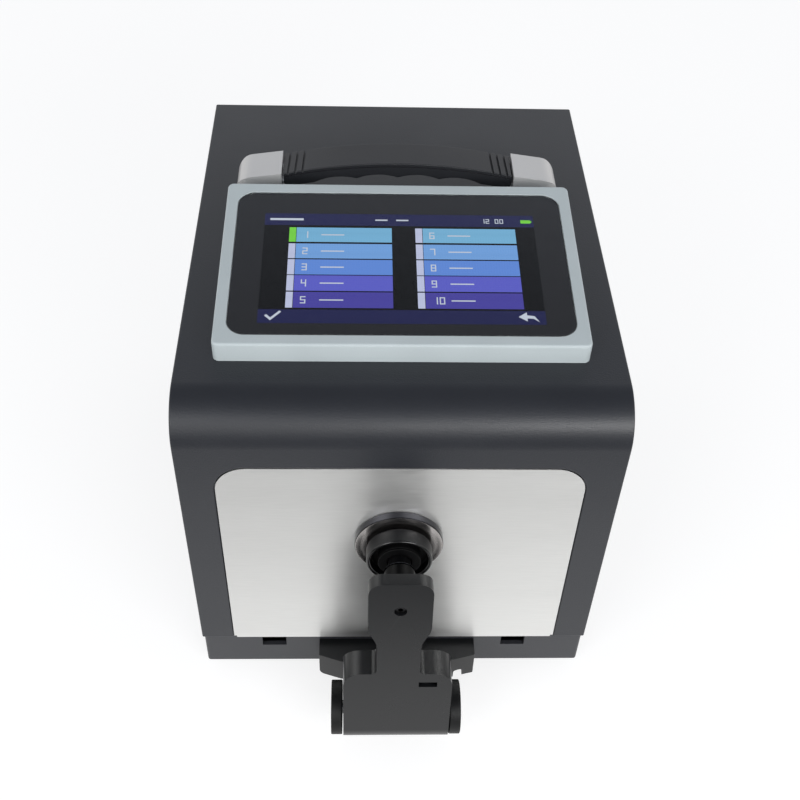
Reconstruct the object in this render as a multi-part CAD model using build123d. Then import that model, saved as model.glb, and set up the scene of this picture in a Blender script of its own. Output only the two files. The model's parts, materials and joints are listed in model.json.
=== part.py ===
from build123d import *
import os
from math import acos, atan2, cos, radians, sin, sqrt, tan

# Benchtop colorimeter with a spring clamp that holds a specimen against its measuring port.
# Millimetres. X runs to the right, Y from the front face of the cover to the back, Z up from
# the table. save() moves every piece along Y, so that the origin of the written files lies on
# the table under the middle of the whole instrument.

# ---------------------------------------------------------------- fits
RUNNING = 0.05          # radial gap of a turning or swivelling fit
SNUG = 0.02             # radial gap of a screw or pin in its own hole
ASSEMBLY_GAP = 0.2      # gap round a panel or board in its frame
BODY_GAP = 0.3          # gap between flat faces that move past each other

# ---------------------------------------------------------------- case
BODY_W = 240.0          # over the side walls of the cover
BODY_D = 290.0          # front of the cover to its back edge
BODY_H = 230.0          # underside of the base to the top of the cover
FOOT_H = 6.0
WALL = 2.5              # cover wall
BEND_R = 25.0           # round bend between the cover's front and its top
EDGE_R = 1.5            # outer side edges of the cover
STRIP_H = 29.0          # height of the base that shows below the cover
BASE_SETBACK = 2.0      # base behind the cover, front and back
BASE_SIDE_SETBACK = 0.8
BASE_WALL = 3.0
BASE_FLOOR = 3.0
BASE_CORNER_R = 2.0
LIP_H = 8.0             # upstand of the base inside the cover
LIP_T = 2.0
LIP_INSET = 20.0        # lip ends short of the front and the back by this much

# ---------------------------------------------------------------- front and rear panels
SIDE_FRAME = 20.0       # width of cover beside the front panel
PANEL_H = 161.0
PANEL_T = 2.5
PANEL_CORNER_R = 17.5
PANEL_GAP = 0.4
PANEL_NOTCH = 1.6       # small square relief at each lower corner
BULKHEAD_T = 3.0
BULKHEAD_MARGIN = 3.5   # side clearance of the bulkhead in the cover
BULKHEAD_FOOT = 20.0
REAR_T = 2.0
RETURN_T = 2.5          # inward flange of the cover that carries the rear panel
RETURN_W = 10.0
REAR_LIP_H = 12.0
REAR_LIP_W = 200.0
VENT_W = 2.5
VENT_H = 34.0
VENT_R = 1.1
VENT_PITCH = 6.0
VENT_COUNT = 12
VENT_X = 62.0           # middle of the vents
VENT_Z = 190.0

# ---------------------------------------------------------------- accessory slots in the base
SLOT_X = 75.5
SLOT_W = 15.0
SLOT_H = 10.0
SLOT_BELOW_TOP = 2.0

# ---------------------------------------------------------------- feet and base screws
FOOT_R = 9.0
FOOT_TIP_R = 7.5
FOOT_INSET_X = 24.0
FOOT_INSET_Y = 26.0
FOOT_RECESS_R = 4.6
FOOT_RECESS_H = 3.0
SCREW_R = 1.5           # M3
SCREW_HEAD_R = 2.8
SCREW_HEAD_H = 1.8
SCREW_L = 8.0
BOSS_R = 4.0

# ---------------------------------------------------------------- screen
BEZEL_W = 200.0
BEZEL_Y = 40.3          # front wall of the bezel
BEZEL_FRONT_H = 12.2
BEZEL_SLOPE = 5.12      # degrees
BEZEL_LEN = 127.0       # along the slope
BEZEL_WALL = 3.0
BEZEL_CORNER_R = 3.5
BEZEL_EDGE_R = 1.0
GLASS_W = 186.0
GLASS_FROM = 7.2        # front edge of the glass, along the slope
GLASS_LEN = 111.6
GLASS_T = 1.8
GLASS_CORNER_R = 10.0
GLASS_GAP = 0.15
OPENING_R = 3.0         # corners of the bezel opening behind the glass
LEDGE = 3.0             # bezel ledge under the front and back edge of the glass
SIDE_LEDGE = 5.5
LCD_W = 164.9
LCD_LEN = 99.0
LCD_FROM = 10.4
LCD_T = 5.5
BOARD_T = 1.6
DISPLAY_BOARD_W = 130.0
DISPLAY_BOARD_LEN = 70.0
GASKET_W = 3.5
GASKET_H = 1.2
BEZEL_BOSS_R = 3.2
BEZEL_BOSS_X = 89.0
BEZEL_BOSS_INSET = 12.5
CABLE_PORT_W = 120.0    # opening of the cover under the screen
CABLE_PORT_LEN = 70.0

# ---------------------------------------------------------------- carrying handle
CAP_D = 24.5
HANDLE_BEHIND = 14.46   # from the back of the bezel to the handle
HANDLE_Y = BEZEL_Y + BEZEL_LEN * cos(radians(BEZEL_SLOPE)) + HANDLE_BEHIND + CAP_D / 2
CAP_INNER_X = 70.0
CAP_TOP = 20.0          # inner end of the cap over the cover
CAP_SHOULDER_X = 90.0
CAP_SHOULDER = 16.8
CAP_END_X = 96.5
CAP_END = 10.0
CAP_BASE_X = 98.5
CAP_ARCH_R = 12.0       # hollow under the grip's end
CAP_ARCH_TOP = 17.0
CAP_EDGE_R = 2.0
GRIP_D = 21.4
GRIP_END_GAP = 1.0
GRIP_END_TOP = 19.0     # top of the grip at its ends, over the cover
GRIP_RISE = 8.0         # arch of the grip
GRIP_T = 9.8
GRIP_END_R = 6.0
GRIP_EDGE_R = 1.2
SCALLOP_PITCH = 22.6
SCALLOP_COUNT = 4
SCALLOP_DEPTH = 2.0
RIB_FIRST = 3.4         # first cross groove from the end of the grip
RIB_PITCH = 4.4
RIB_COUNT = 3
RIB_W = 1.0
RIB_DEPTH = 0.9
STRAP_W = 18.0
STRAP_T = 1.6
STRAP_TAB = 17.0        # length of the strap inside each cap
STRAP_UP = 11.0         # underside of the tab over the cover
STRAP_RISE = 8.6
STRAP_GAP = 0.15
GRIP_LIFT = 2.5         # how far the grip rises when it is pulled
HANDLE_SCREW_X = 82.0
HANDLE_SCREW_DY = 7.0
STIFFENER_T = 2.0
STIFFENER_L = 30.0

# ---------------------------------------------------------------- measuring port
PORT_UP = 130.0         # port centre over the underside of the base
FLANGE_R = 25.0
FLANGE_T = 4.7
FLANGE_EDGE = 0.6
APERTURE_R = 9.0
APERTURE_BACK_R = 12.5
SPIGOT_R = 17.2
LUG_R = 19.6
LUG_T = 2.7
LUG_COUNT = 3
LUG_ANGLE = 36.0
LUG_SLACK = 3.0         # degrees of room each side of a lug in its slot
TWIST = 45.0            # degrees from locked to free
SEAT_R = 21.0
SEAT_L = 16.0
SEAT_LIP = 3.0
SEAT_GAP = 0.3          # panel hole round the seat

# ---------------------------------------------------------------- clamp
HINGE_Y = -44.7
HINGE_UP = 22.0         # hinge axis over the underside of the base
ARM_R = 16.6            # round foot of the arm
ARM_LEAN = 6.6          # degrees, front face towards the instrument
ARM_TOP = 129.0         # top of the head over the hinge axis
ARM_REAR = 6.2          # flat back of the arm behind the hinge axis
ARM_LOW_W = 62.6
ARM_SHOULDER = 54.5     # top of the wide foot over the hinge axis
ARM_SHOULDER_R = 11.0
ARM_NECK_W = 24.6
ARM_NECK_TOP = 80.0
ARM_NECK_R = 3.0
HEAD_W = 35.0
HEAD_LOW = 92.0
HEAD_R = 8.0
ARM_EDGE_R = 1.2
ARM_SLOT_X = 16.5
ARM_SLOT_UP = 46.0
ARM_SLOT_W = 11.0
ARM_SLOT_H = 3.0
ARM_SLOT_DEPTH = 2.5
SHAFT_R = 4.0
BUSH_R = 6.0
KNUCKLE_R = 12.0
KNUCKLE_W = 30.0
NECK_UP = 2.0           # bracket neck above and below the hinge axis
NECK_DOWN = 8.0
CHEEK_T = 5.3
SPRING_R = 7.6          # mean radius of the coil
SPRING_WIRE_R = 0.8
SPRING_TURNS = 4
SPRING_ROOM = 1.6       # radial room round the coil
SPRING_END_GAP = 0.4
TANG = 2.4              # bent end of the spring in its hole
TANG_GAP = 0.2
TANG_ANGLE = -90.0      # place of the spring ends round the pin, from +Y towards +Z
END_CAP_R = 16.0
END_CAP_T = 6.6
END_CAP_GAP = 0.7
END_CAP_EDGE = 0.8
END_CAP_BORE = 5.0

BRACKET_LOW = 3.4       # over the underside of the base
BRACKET_TOP = 24.0
BRACKET_LEFT = 47.0
BRACKET_RIGHT = 50.5
BRACKET_MID = 33.0
BRACKET_REACH = 14.7    # in front of the cover at the middle
BRACKET_END_REACH = 10.0
BRACKET_CORNER_R = 3.0
NOTCH_FROM = 37.7
NOTCH_W = 5.6
NOTCH_H = 5.1
LUG_DROP = 0.4
BRACKET_SCREW_X = 28.0
BRACKET_SCREW_R = 2.5
BRACKET_SCREW_L = 14.0
BRACKET_SCREW_HEAD_R = 4.2
BRACKET_SCREW_HEAD_H = 2.8

# ---------------------------------------------------------------- specimen pad
BALL_R = 7.25
BALL_OUT = 3.0          # ball centre in front of the arm's flat back
BOSS_OUT = 5.0
HEAD_BOSS_R = 8.85
STEM_R = 6.4
STEM_BALL_R = 5.2
STEM_DISC_R = 9.5
STEM_DISC_T = 4.2
PAD_R = 18.5
PAD_BORE_R = 16.0
PAD_L = 9.3             # pad from its rim to its rubber face
PAD_FACE_T = 1.0
PAD_FACE_R = 18.2
PAD_WEB = 2.4
PAD_GAP = 2.0           # specimen gap with the clamp closed
HUB_R = 12.0
RETAINER_T = 1.4
RETAINER_BORE_R = 7.0
ADJUSTER_R = 3.0        # set screw that presses on the ball
ADJUSTER_HEAD_R = 3.5
ADJUSTER_HEX_R = 1.6
ADJUSTER_SUNK = 1.0     # end of the screw under the arm's face

# ---------------------------------------------------------------- optics
SPHERE_R = 45.0         # inside
SPHERE_WALL = 4.0
SPHERE_GAP = 2.0        # between the sphere and the bulkhead
SPHERE_FLANGE_W = 7.0
SPHERE_FLANGE_T = 4.0
SPHERE_SCREWS = 6
PORT_R = 13.0
PORT_BOSS_R = 26.0
VIEW_ANGLE = 8.0        # degrees off the normal of the specimen
TUBE_R = 9.0
TUBE_WALL = 2.0
TUBE_L = 62.0
LENS_T = 4.0
LENS_SETBACK = 14.0
TRAP_R = 8.0
TRAP_BOSS_R = 11.0
TRAP_BOSS_L = 3.0
FLAP_R = 10.0
FLAP_T = 2.0
FLAP_ARM_W = 6.0
FLAP_PIVOT = 16.0       # flap's pivot from the middle of the trap port
FLAP_HUB_R = 3.2
MOTOR_SHAFT_R = 1.5
MOTOR_SHAFT_UP = 10.0
MOTOR_R = 8.0
MOTOR_H = 18.0
POST_W = 16.0
LAMP_BOSS_R = 13.0
LAMP_BORE_R = 9.0
LAMP_OFFSET = 24.0      # lamp in front of the joint of the two halves
LAMP_BOSS_UP = 4.0
LAMP_R = 15.0
LAMP_H = 24.0
LAMP_FINS = 4
LAMP_FIN_T = 1.6
LAMP_FIN_DEPTH = 2.5
LED_R = 8.0
LED_T = 2.0
PLATE_UP = 24.0         # optics plate over the underside of the base
PLATE_T = 4.0
PLATE_W = 180.0
PLATE_FROM = 24.0
PLATE_TO = 262.0
PLATE_SCREW_INSET = 10.0
STAND_W = 64.0
STAND_D = 26.0
STAND_H = 62.0
SPEC_W = 70.0
SPEC_D = 84.0
SPEC_H = 46.0
SPEC_WALL = 3.0
SPEC_LID_T = 3.0
SPEC_SHIFT = 14.0       # spectrometer box beside the beam, for its sensor
SPEC_POST_R = 4.0
SPEC_POST_INSET = 9.0
GRATING_R = 15.0
GRATING_T = 8.0
GRATING_HOLLOW_R = 80.0
SENSOR_W = 26.0
SENSOR_H = 18.0

# ---------------------------------------------------------------- electronics
MAIN_BOARD_W = 150.0
MAIN_BOARD_D = 90.0
MAIN_BOARD_FROM = 150.0
STANDOFF_R = 3.0
STANDOFF_H = 5.0
STANDOFF_INSET = 6.0
CHIP = 22.0
CHIP_T = 3.0
HEADER_W = 16.0
HEADER_D = 6.0
HEADER_H = 6.0
BATTERY_W = 112.0
BATTERY_D = 74.0
BATTERY_H = 13.0
BATTERY_FROM = 45.0
BATTERY_R = 3.0
RAIL_T = 1.5            # low wall round the battery
RAIL_H = 6.0
RIBBON_W = 12.0
RIBBON_T = 0.4
RIBBON_X = -52.0

# ---------------------------------------------------------------- sockets and switch
SOCKETS_UP = 62.0       # over the underside of the base
ROCKER_X = 84.0
ROCKER_W = 9.0
ROCKER_H = 15.2
ROCKER_ANGLE = 6.0      # tilt each side of level
ROCKER_PROUD = 3.0
ROCKER_DEEP = 6.0       # pivot inside the panel
ROCKER_PIN_R = 1.0
ROCKER_ROOM = 0.5
ROCKER_FOOT = 0.6       # height of the rocker's foot, as a part of its face
HOUSING_WALL = 1.6
HOUSING_L = 16.0
HOUSING_FLANGE = 2.0
HOUSING_FLANGE_T = 1.2
INLET_X = 46.0
INLET_R = 5.5
INLET_BORE_R = 3.2
INLET_PIN_R = 1.0
INLET_L = 14.0
INLET_PROUD = 4.0
INLET_NUT_R = 7.5
INLET_NUT_T = 2.5
USB_X = 16.0
USB_W = 12.0
USB_H = 11.0
USB_L = 16.0
USB_WALL = 1.6
USB_TONGUE_W = 5.6
USB_TONGUE_H = 3.2
USB_FLANGE = 1.5

# ---------------------------------------------------------------- levels and places
Z_BASE = FOOT_H
Z_FLOOR = Z_BASE + BASE_FLOOR
Z_STRIP = Z_BASE + STRIP_H
Z_TOP = Z_BASE + BODY_H
Z_ROOF = Z_TOP - WALL
Z_PORT = Z_BASE + PORT_UP
Z_HINGE = Z_BASE + HINGE_UP
Z_PLATE = Z_BASE + PLATE_UP
Z_SOCKETS = Z_BASE + SOCKETS_UP
X_IN = BODY_W / 2 - WALL
X_BASE = BODY_W / 2 - BASE_SIDE_SETBACK
Y_BASE_FRONT = BASE_SETBACK
Y_BASE_BACK = BODY_D - BASE_SETBACK
Y_REAR = BODY_D - REAR_T                    # inner face of the rear panel
Y_BULKHEAD = PANEL_T + BULKHEAD_T           # back of the bulkhead
X_WINDOW = BODY_W / 2 - SIDE_FRAME
Z_PANEL_TOP = Z_STRIP + PANEL_H
Y_FLANGE = -BODY_GAP - FLANGE_T             # face that the specimen lies against
Y_PAD = Y_FLANGE - PAD_GAP
Y_PAD_RIM = Y_PAD - PAD_L
Y_ARM_BACK = HINGE_Y + ARM_REAR
Y_BALL = Y_ARM_BACK + BALL_OUT
Z_HEAD = Z_HINGE + ARM_TOP
Z_SHOULDER = Z_HINGE + ARM_SHOULDER
X_KNUCKLE = KNUCKLE_W / 2
X_CHEEK = ARM_LOW_W / 2 - CHEEK_T           # inner face of each cheek
X_END_CAP = ARM_LOW_W / 2 + END_CAP_GAP
SPHERE_OUT_R = SPHERE_R + SPHERE_WALL
Y_SPHERE = Y_BULKHEAD + SPHERE_GAP + SPHERE_OUT_R
FLANGE_RING_R = SPHERE_OUT_R + SPHERE_FLANGE_W
Y_MIDDLE = (HINGE_Y - ARM_R + BODY_D + INLET_PROUD) / 2


# ---------------------------------------------------------------- helpers
def block(x, y, z):
    """Box given by its low and high ends along each axis."""
    spans = (x, y, z)
    middle = [(low + high) / 2 for low, high in spans]
    return Pos(*middle) * Box(*[high - low for low, high in spans])


def rod(radius, start, end):
    """Round bar between two points."""
    along = Vector(*end) - Vector(*start)
    return extrude(Plane(origin=start, z_dir=along) * Circle(radius), along.length)


def tube(outer, inner, start, end):
    return rod(outer, start, end) - rod(inner, start, end)


def along_y(x, z, y_from, y_to):
    """The two ends of a line that runs from front to back."""
    return (x, y_from, z), (x, y_to, z)


def edge_near(solid, axis, *point):
    """The edge parallel to an axis whose middle lies nearest to a point."""
    edges = solid.edges().filter_by(axis)
    return edges.sort_by(lambda edge: (edge.center() - Vector(*point)).length)[0]


def round_edges(solid, radius, axis, *points):
    return fillet([edge_near(solid, axis, *point) for point in points], radius)


def rounded_block(x, y, z, radius, axis):
    """Box with its four edges along one axis rounded."""
    solid = block(x, y, z)
    return fillet(solid.edges().filter_by(axis), radius)


def pan_screw(start, toward, length=SCREW_L, radius=SCREW_R, head_r=SCREW_HEAD_R,
              head_h=SCREW_HEAD_H):
    """Pan-head screw: its head sits on the start point and its shank runs toward a direction."""
    plane = Plane(origin=start, z_dir=toward)
    shank = extrude(plane * Circle(radius), length)
    head = extrude(plane * Circle(head_r), -head_h)
    head = fillet(head.faces().sort_by(Axis(start, toward))[0].edges(), head_h / 3)
    slot = extrude(plane * (Rectangle(head_r, head_r / 4) + Rectangle(head_r / 4, head_r)), -head_h)
    return shank + head - slot.moved(Location(Vector(*toward).normalized() * (-head_h / 2)))


def screw_hole(start, toward, length=SCREW_L, radius=SCREW_R):
    plane = Plane(origin=start, z_dir=toward)
    return extrude(plane * Circle(radius + SNUG), length)


def add_all(pieces):
    """Fuse a list of solids into one."""
    total = pieces[0]
    for piece in pieces[1:]:
        total = total + piece
    return total


def both_sides(solid):
    """A solid and its mirror image on the other side of the middle."""
    return [solid, mirror(solid, about=Plane.YZ)]


def save(node, *pieces):
    solids = [solid for piece in pieces for solid in piece.solids()]
    whole = solids[0] if len(solids) == 1 else Compound(solids)
    export_step(Pos(0, -Y_MIDDLE, 0) * whole, f"parts/{node}.step")


# ---------------------------------------------------------------- base and feet
def foot_places():
    xs = (FOOT_INSET_X - BODY_W / 2, BODY_W / 2 - FOOT_INSET_X)
    return [(x, y) for x in xs for y in (FOOT_INSET_Y, BODY_D - FOOT_INSET_Y)]


def plate_places():
    xs = (PLATE_SCREW_INSET - PLATE_W / 2, PLATE_W / 2 - PLATE_SCREW_INSET)
    return [(x, y) for x in xs for y in (PLATE_FROM + PLATE_SCREW_INSET, PLATE_TO - PLATE_SCREW_INSET)]


def board_places():
    xs = (STANDOFF_INSET - MAIN_BOARD_W / 2, MAIN_BOARD_W / 2 - STANDOFF_INSET)
    ends = (MAIN_BOARD_FROM + STANDOFF_INSET, MAIN_BOARD_FROM + MAIN_BOARD_D - STANDOFF_INSET)
    return [(x, y) for x in xs for y in ends]


def bulkhead_places():
    y = PANEL_T + BULKHEAD_T + BULKHEAD_FOOT / 2
    return [(x, y) for x in (-X_WINDOW, X_WINDOW)]


def rear_lip_places():
    return [(x, Z_STRIP + REAR_LIP_H / 2) for x in (-REAR_LIP_W / 4, REAR_LIP_W / 4)]


def bracket_screw_places():
    return [(x, Z_BASE + (BRACKET_LOW + BRACKET_TOP) / 2) for x in (-BRACKET_SCREW_X, BRACKET_SCREW_X)]


def base_tray():
    outer = rounded_block((-X_BASE, X_BASE), (Y_BASE_FRONT, Y_BASE_BACK), (Z_BASE, Z_STRIP),
                          BASE_CORNER_R, Axis.Z)
    x_wall = X_BASE - BASE_WALL
    y_walls = (Y_BASE_FRONT + BASE_WALL, Y_BASE_BACK - BASE_WALL)
    tray = outer - block((-x_wall, x_wall), y_walls, (Z_FLOOR, Z_STRIP + 1))
    x_lip = X_IN - ASSEMBLY_GAP
    lip = block((x_lip - LIP_T, x_lip), (LIP_INSET, BODY_D - LIP_INSET), (Z_FLOOR, Z_STRIP + LIP_H))
    tray += add_all(both_sides(lip))
    tray += block((-REAR_LIP_W / 2, REAR_LIP_W / 2), (Y_REAR - BASE_WALL, Y_REAR),
                  (Z_FLOOR, Z_STRIP + REAR_LIP_H))
    bosses = [rod(BOSS_R, (x, y, Z_FLOOR), (x, y, Z_PLATE)) for x, y in plate_places()]
    bosses += [rod(BOSS_R, (x, y, Z_FLOOR), (x, y, Z_STRIP)) for x, y in bulkhead_places()]
    bosses += [rod(BOSS_R, (x, y, Z_FLOOR), (x, y, Z_FLOOR + SCREW_L)) for x, y in foot_places()]
    tray = tray + add_all(bosses) + battery_rails()
    for x, y in plate_places():
        tray -= screw_hole((x, y, Z_PLATE), (0, 0, -1), STANDOFF_H)
    for x, y in bulkhead_places():
        tray -= screw_hole((x, y, Z_STRIP), (0, 0, -1), STANDOFF_H)
    for x, y in foot_places():
        tray -= screw_hole((x, y, Z_BASE), (0, 0, 1), SCREW_L)
    for x, z in rear_lip_places():
        tray -= screw_hole((x, Y_REAR, z), (0, -1, 0))
    for x, z in bracket_screw_places():
        tray -= screw_hole((x, Y_BASE_FRONT + BASE_WALL, z), (0, -1, 0), BASE_WALL, BRACKET_SCREW_R)
    z_slot = Z_STRIP - SLOT_BELOW_TOP
    slot = block((SLOT_X - SLOT_W / 2, SLOT_X + SLOT_W / 2), (Y_BASE_FRONT, Y_BASE_FRONT + BASE_WALL),
                 (z_slot - SLOT_H, z_slot))
    return tray - add_all(both_sides(slot))


def feet():
    made = []
    for x, y in foot_places():
        foot = loft([Pos(x, y, 0) * Circle(FOOT_TIP_R), Pos(x, y, FOOT_H) * Circle(FOOT_R)])
        foot -= rod(FOOT_RECESS_R, (x, y, 0), (x, y, FOOT_RECESS_H))
        made.append(foot - screw_hole((x, y, FOOT_RECESS_H), (0, 0, 1), FOOT_H - FOOT_RECESS_H))
    return made


def foot_screws():
    length = FOOT_H - FOOT_RECESS_H + SCREW_L - 1
    return [pan_screw((x, y, FOOT_RECESS_H), (0, 0, 1), length) for x, y in foot_places()]


# ---------------------------------------------------------------- cover and panels
def window(gap):
    """Shape of the front panel, widened by a gap at its sides and its top."""
    x, top = X_WINDOW + gap, Z_PANEL_TOP + gap
    slab = block((-x, x), (0, PANEL_T), (Z_STRIP, top))
    return round_edges(slab, PANEL_CORNER_R + gap, Axis.Y, (-x, PANEL_T / 2, top), (x, PANEL_T / 2, top))


def rear_screw_places():
    x, z = X_IN - RETURN_W / 2, Z_ROOF - RETURN_W / 2
    low, high = Z_STRIP + 2 * RETURN_W, Z_ROOF - 2 * RETURN_W
    sides = [(side * x, level) for side in (-1, 1) for level in (low, (low + high) / 2, high)]
    return sides + [(-X_IN / 2, z), (X_IN / 2, z)]


def bezel_screw_places():
    back = BEZEL_Y + BEZEL_LEN * cos(radians(BEZEL_SLOPE))
    ends = (BEZEL_Y + BEZEL_BOSS_INSET, back - BEZEL_BOSS_INSET)
    return [(x, y) for x in (-BEZEL_BOSS_X, BEZEL_BOSS_X) for y in ends]


def handle_screw_places(side):
    return [(side * HANDLE_SCREW_X, HANDLE_Y + dy) for dy in (-HANDLE_SCREW_DY, HANDLE_SCREW_DY)]


def cable_port():
    middle = BEZEL_Y + BEZEL_LEN / 2
    return (-CABLE_PORT_W / 2, CABLE_PORT_W / 2), (middle - CABLE_PORT_LEN / 2, middle + CABLE_PORT_LEN / 2)


def case_body(inset, y_to):
    """Case outline inset from its outer faces, from the base strip up."""
    x, top = BODY_W / 2 - inset, Z_TOP - inset
    solid = block((-x, x), (inset, y_to), (Z_STRIP, top))
    return round_edges(solid, BEND_R - inset, Axis.X, (0, inset, top))


def top_cover():
    shell = case_body(0, BODY_D)
    ends = [face.edges().sort_by(Axis.Z)[1:] for face in (shell.faces().sort_by(Axis.X)[0],
                                                         shell.faces().sort_by(Axis.X)[-1])]
    shell = fillet([edge for group in ends for edge in group], EDGE_R)
    shell -= case_body(WALL, Y_REAR - RETURN_T)
    shell -= block((-X_IN, X_IN), (Y_REAR, BODY_D), (Z_STRIP, Z_ROOF))
    x_open, z_open = X_IN - RETURN_W, Z_ROOF - RETURN_W
    shell -= block((-x_open, x_open), (Y_REAR - RETURN_T, Y_REAR), (Z_STRIP, z_open))
    shell -= window(PANEL_GAP)
    port_x, port_y = cable_port()
    shell -= block(port_x, port_y, (Z_ROOF, Z_TOP))
    for x, z in rear_screw_places():
        shell -= screw_hole((x, Y_REAR, z), (0, -1, 0), RETURN_T)
    for x, y in bezel_screw_places() + handle_screw_places(1) + handle_screw_places(-1):
        shell -= screw_hole((x, y, Z_ROOF), (0, 0, 1), WALL)
    return shell


def front_panel():
    panel = window(0)
    notch = block((X_WINDOW - PANEL_NOTCH, X_WINDOW), (0, PANEL_T), (Z_STRIP, Z_STRIP + PANEL_NOTCH))
    panel -= add_all(both_sides(notch))
    return panel - rod(SEAT_R + SEAT_GAP, *along_y(0, Z_PORT, 0, PANEL_T))


def front_bulkhead():
    x = X_IN - BULKHEAD_MARGIN
    top = Z_TOP - BEND_R
    plate = block((-x, x), (PANEL_T, Y_BULKHEAD), (Z_STRIP, top))
    plate += block((-x, x), (Y_BULKHEAD, Y_BULKHEAD + BULKHEAD_FOOT), (Z_STRIP, Z_STRIP + BULKHEAD_T))
    for spot_x, spot_y in bulkhead_places():
        plate -= screw_hole((spot_x, spot_y, Z_STRIP), (0, 0, 1), BULKHEAD_T)
    # the lip of the base stands inside the cover, so the foot is notched round it
    notch = block((X_IN - ASSEMBLY_GAP * 2 - LIP_T, X_IN), (LIP_INSET - ASSEMBLY_GAP, BODY_D),
                  (Z_STRIP, Z_STRIP + LIP_H))
    plate -= add_all(both_sides(notch))
    return plate - rod(SEAT_R + SNUG, *along_y(0, Z_PORT, PANEL_T, Y_BULKHEAD))


def rear_panel():
    x = X_IN - ASSEMBLY_GAP
    plate = block((-x, x), (Y_REAR, BODY_D), (Z_STRIP, Z_ROOF - ASSEMBLY_GAP))
    for spot_x, z in rear_screw_places() + rear_lip_places():
        plate -= screw_hole((spot_x, BODY_D, z), (0, -1, 0), REAR_T)
    for index in range(VENT_COUNT):
        vent_x = VENT_X + (index - (VENT_COUNT - 1) / 2) * VENT_PITCH
        plate -= rounded_block((vent_x - VENT_W / 2, vent_x + VENT_W / 2), (Y_REAR, BODY_D),
                               (VENT_Z - VENT_H / 2, VENT_Z + VENT_H / 2), VENT_R, Axis.Y)
    plate -= centred_block(ROCKER_X, housing_size(), (Y_REAR, BODY_D))
    plate -= rod(INLET_R + SNUG, *along_y(INLET_X, Z_SOCKETS, Y_REAR, BODY_D))
    return plate - centred_block(USB_X, (USB_W, USB_H), (Y_REAR, BODY_D))


def rear_screws():
    places = rear_screw_places() + rear_lip_places()
    return [pan_screw((x, BODY_D, z), (0, -1, 0), REAR_T + RETURN_T) for x, z in places]


# ---------------------------------------------------------------- screen
SLOPE = Plane(origin=(0, BEZEL_Y, Z_TOP + BEZEL_FRONT_H), x_dir=(1, 0, 0),
              z_dir=(0, -sin(radians(BEZEL_SLOPE)), cos(radians(BEZEL_SLOPE))))


def sloped_slab(width, start, length, depth, thickness, corner=0):
    """Slab parallel to the screen: start is along the slope, depth is below its face."""
    outline = Rectangle(width, length)
    if corner:
        outline = fillet(outline.vertices(), corner)
    place = SLOPE.offset(-depth - thickness)
    return extrude(place * (Pos(0, start + length / 2) * outline), thickness)


def wedge(inset, low):
    """Body of the bezel, inset from its outer faces."""
    x = BEZEL_W / 2 - inset
    run = BEZEL_LEN * cos(radians(BEZEL_SLOPE))
    slope = tan(radians(BEZEL_SLOPE))
    front, back = BEZEL_Y + inset, BEZEL_Y + run - inset
    top = Z_TOP + BEZEL_FRONT_H - inset / cos(radians(BEZEL_SLOPE))
    corners = [(front, low), (back, low), (back, top + (run - inset) * slope), (front, top + inset * slope)]
    side = make_face(Polyline(*[(0, y, z) for y, z in corners], close=True))
    return extrude(side, x, dir=(1, 0, 0), both=True)


def screen_bezel():
    body = wedge(0, Z_TOP)
    body = fillet(body.edges().filter_by(Axis.Z), BEZEL_CORNER_R)
    body = fillet(body.faces().sort_by(Axis.Z)[-1].edges(), BEZEL_EDGE_R)
    body -= wedge(BEZEL_WALL, Z_TOP)
    posts = [rod(BEZEL_BOSS_R, (x, y, Z_TOP), (x, y, Z_TOP + BEZEL_LEN)) for x, y in bezel_screw_places()]
    body += add_all(posts) & wedge(BEZEL_WALL / 2, Z_TOP)
    body -= sloped_slab(GLASS_W + 2 * GLASS_GAP, GLASS_FROM - GLASS_GAP, GLASS_LEN + 2 * GLASS_GAP,
                        -1, GLASS_T + 1, GLASS_CORNER_R + GLASS_GAP)
    body -= sloped_slab(GLASS_W - 2 * SIDE_LEDGE, GLASS_FROM + LEDGE, GLASS_LEN - 2 * LEDGE, 0,
                        GLASS_T + LCD_T, OPENING_R)
    for x, y in bezel_screw_places():
        body -= screw_hole((x, y, Z_TOP), (0, 0, 1), SCREW_L - WALL)
    return body


def screen_gasket():
    run = BEZEL_LEN * cos(radians(BEZEL_SLOPE))
    outer_x, inset = BEZEL_W / 2 - BEZEL_WALL, BEZEL_WALL
    level = (Z_TOP, Z_TOP + GASKET_H)
    outer = block((-outer_x, outer_x), (BEZEL_Y + inset, BEZEL_Y + run - inset), level)
    inner_x, inset = outer_x - GASKET_W, inset + GASKET_W
    return outer - block((-inner_x, inner_x), (BEZEL_Y + inset, BEZEL_Y + run - inset), level)


def touch_glass():
    glass = sloped_slab(GLASS_W, GLASS_FROM, GLASS_LEN, 0, GLASS_T, GLASS_CORNER_R)
    return chamfer(glass.faces().sort_by(Axis.Z)[-1].edges(), GLASS_T / 6)


def lcd_module():
    return sloped_slab(LCD_W, LCD_FROM, LCD_LEN, GLASS_T, LCD_T)


def display_board_from():
    return LCD_FROM + (LCD_LEN - DISPLAY_BOARD_LEN) / 2


def display_board():
    return sloped_slab(DISPLAY_BOARD_W, display_board_from(), DISPLAY_BOARD_LEN, GLASS_T + LCD_T, BOARD_T)


def bezel_screws():
    return [pan_screw((x, y, Z_ROOF), (0, 0, 1), SCREW_L - 1) for x, y in bezel_screw_places()]


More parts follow.
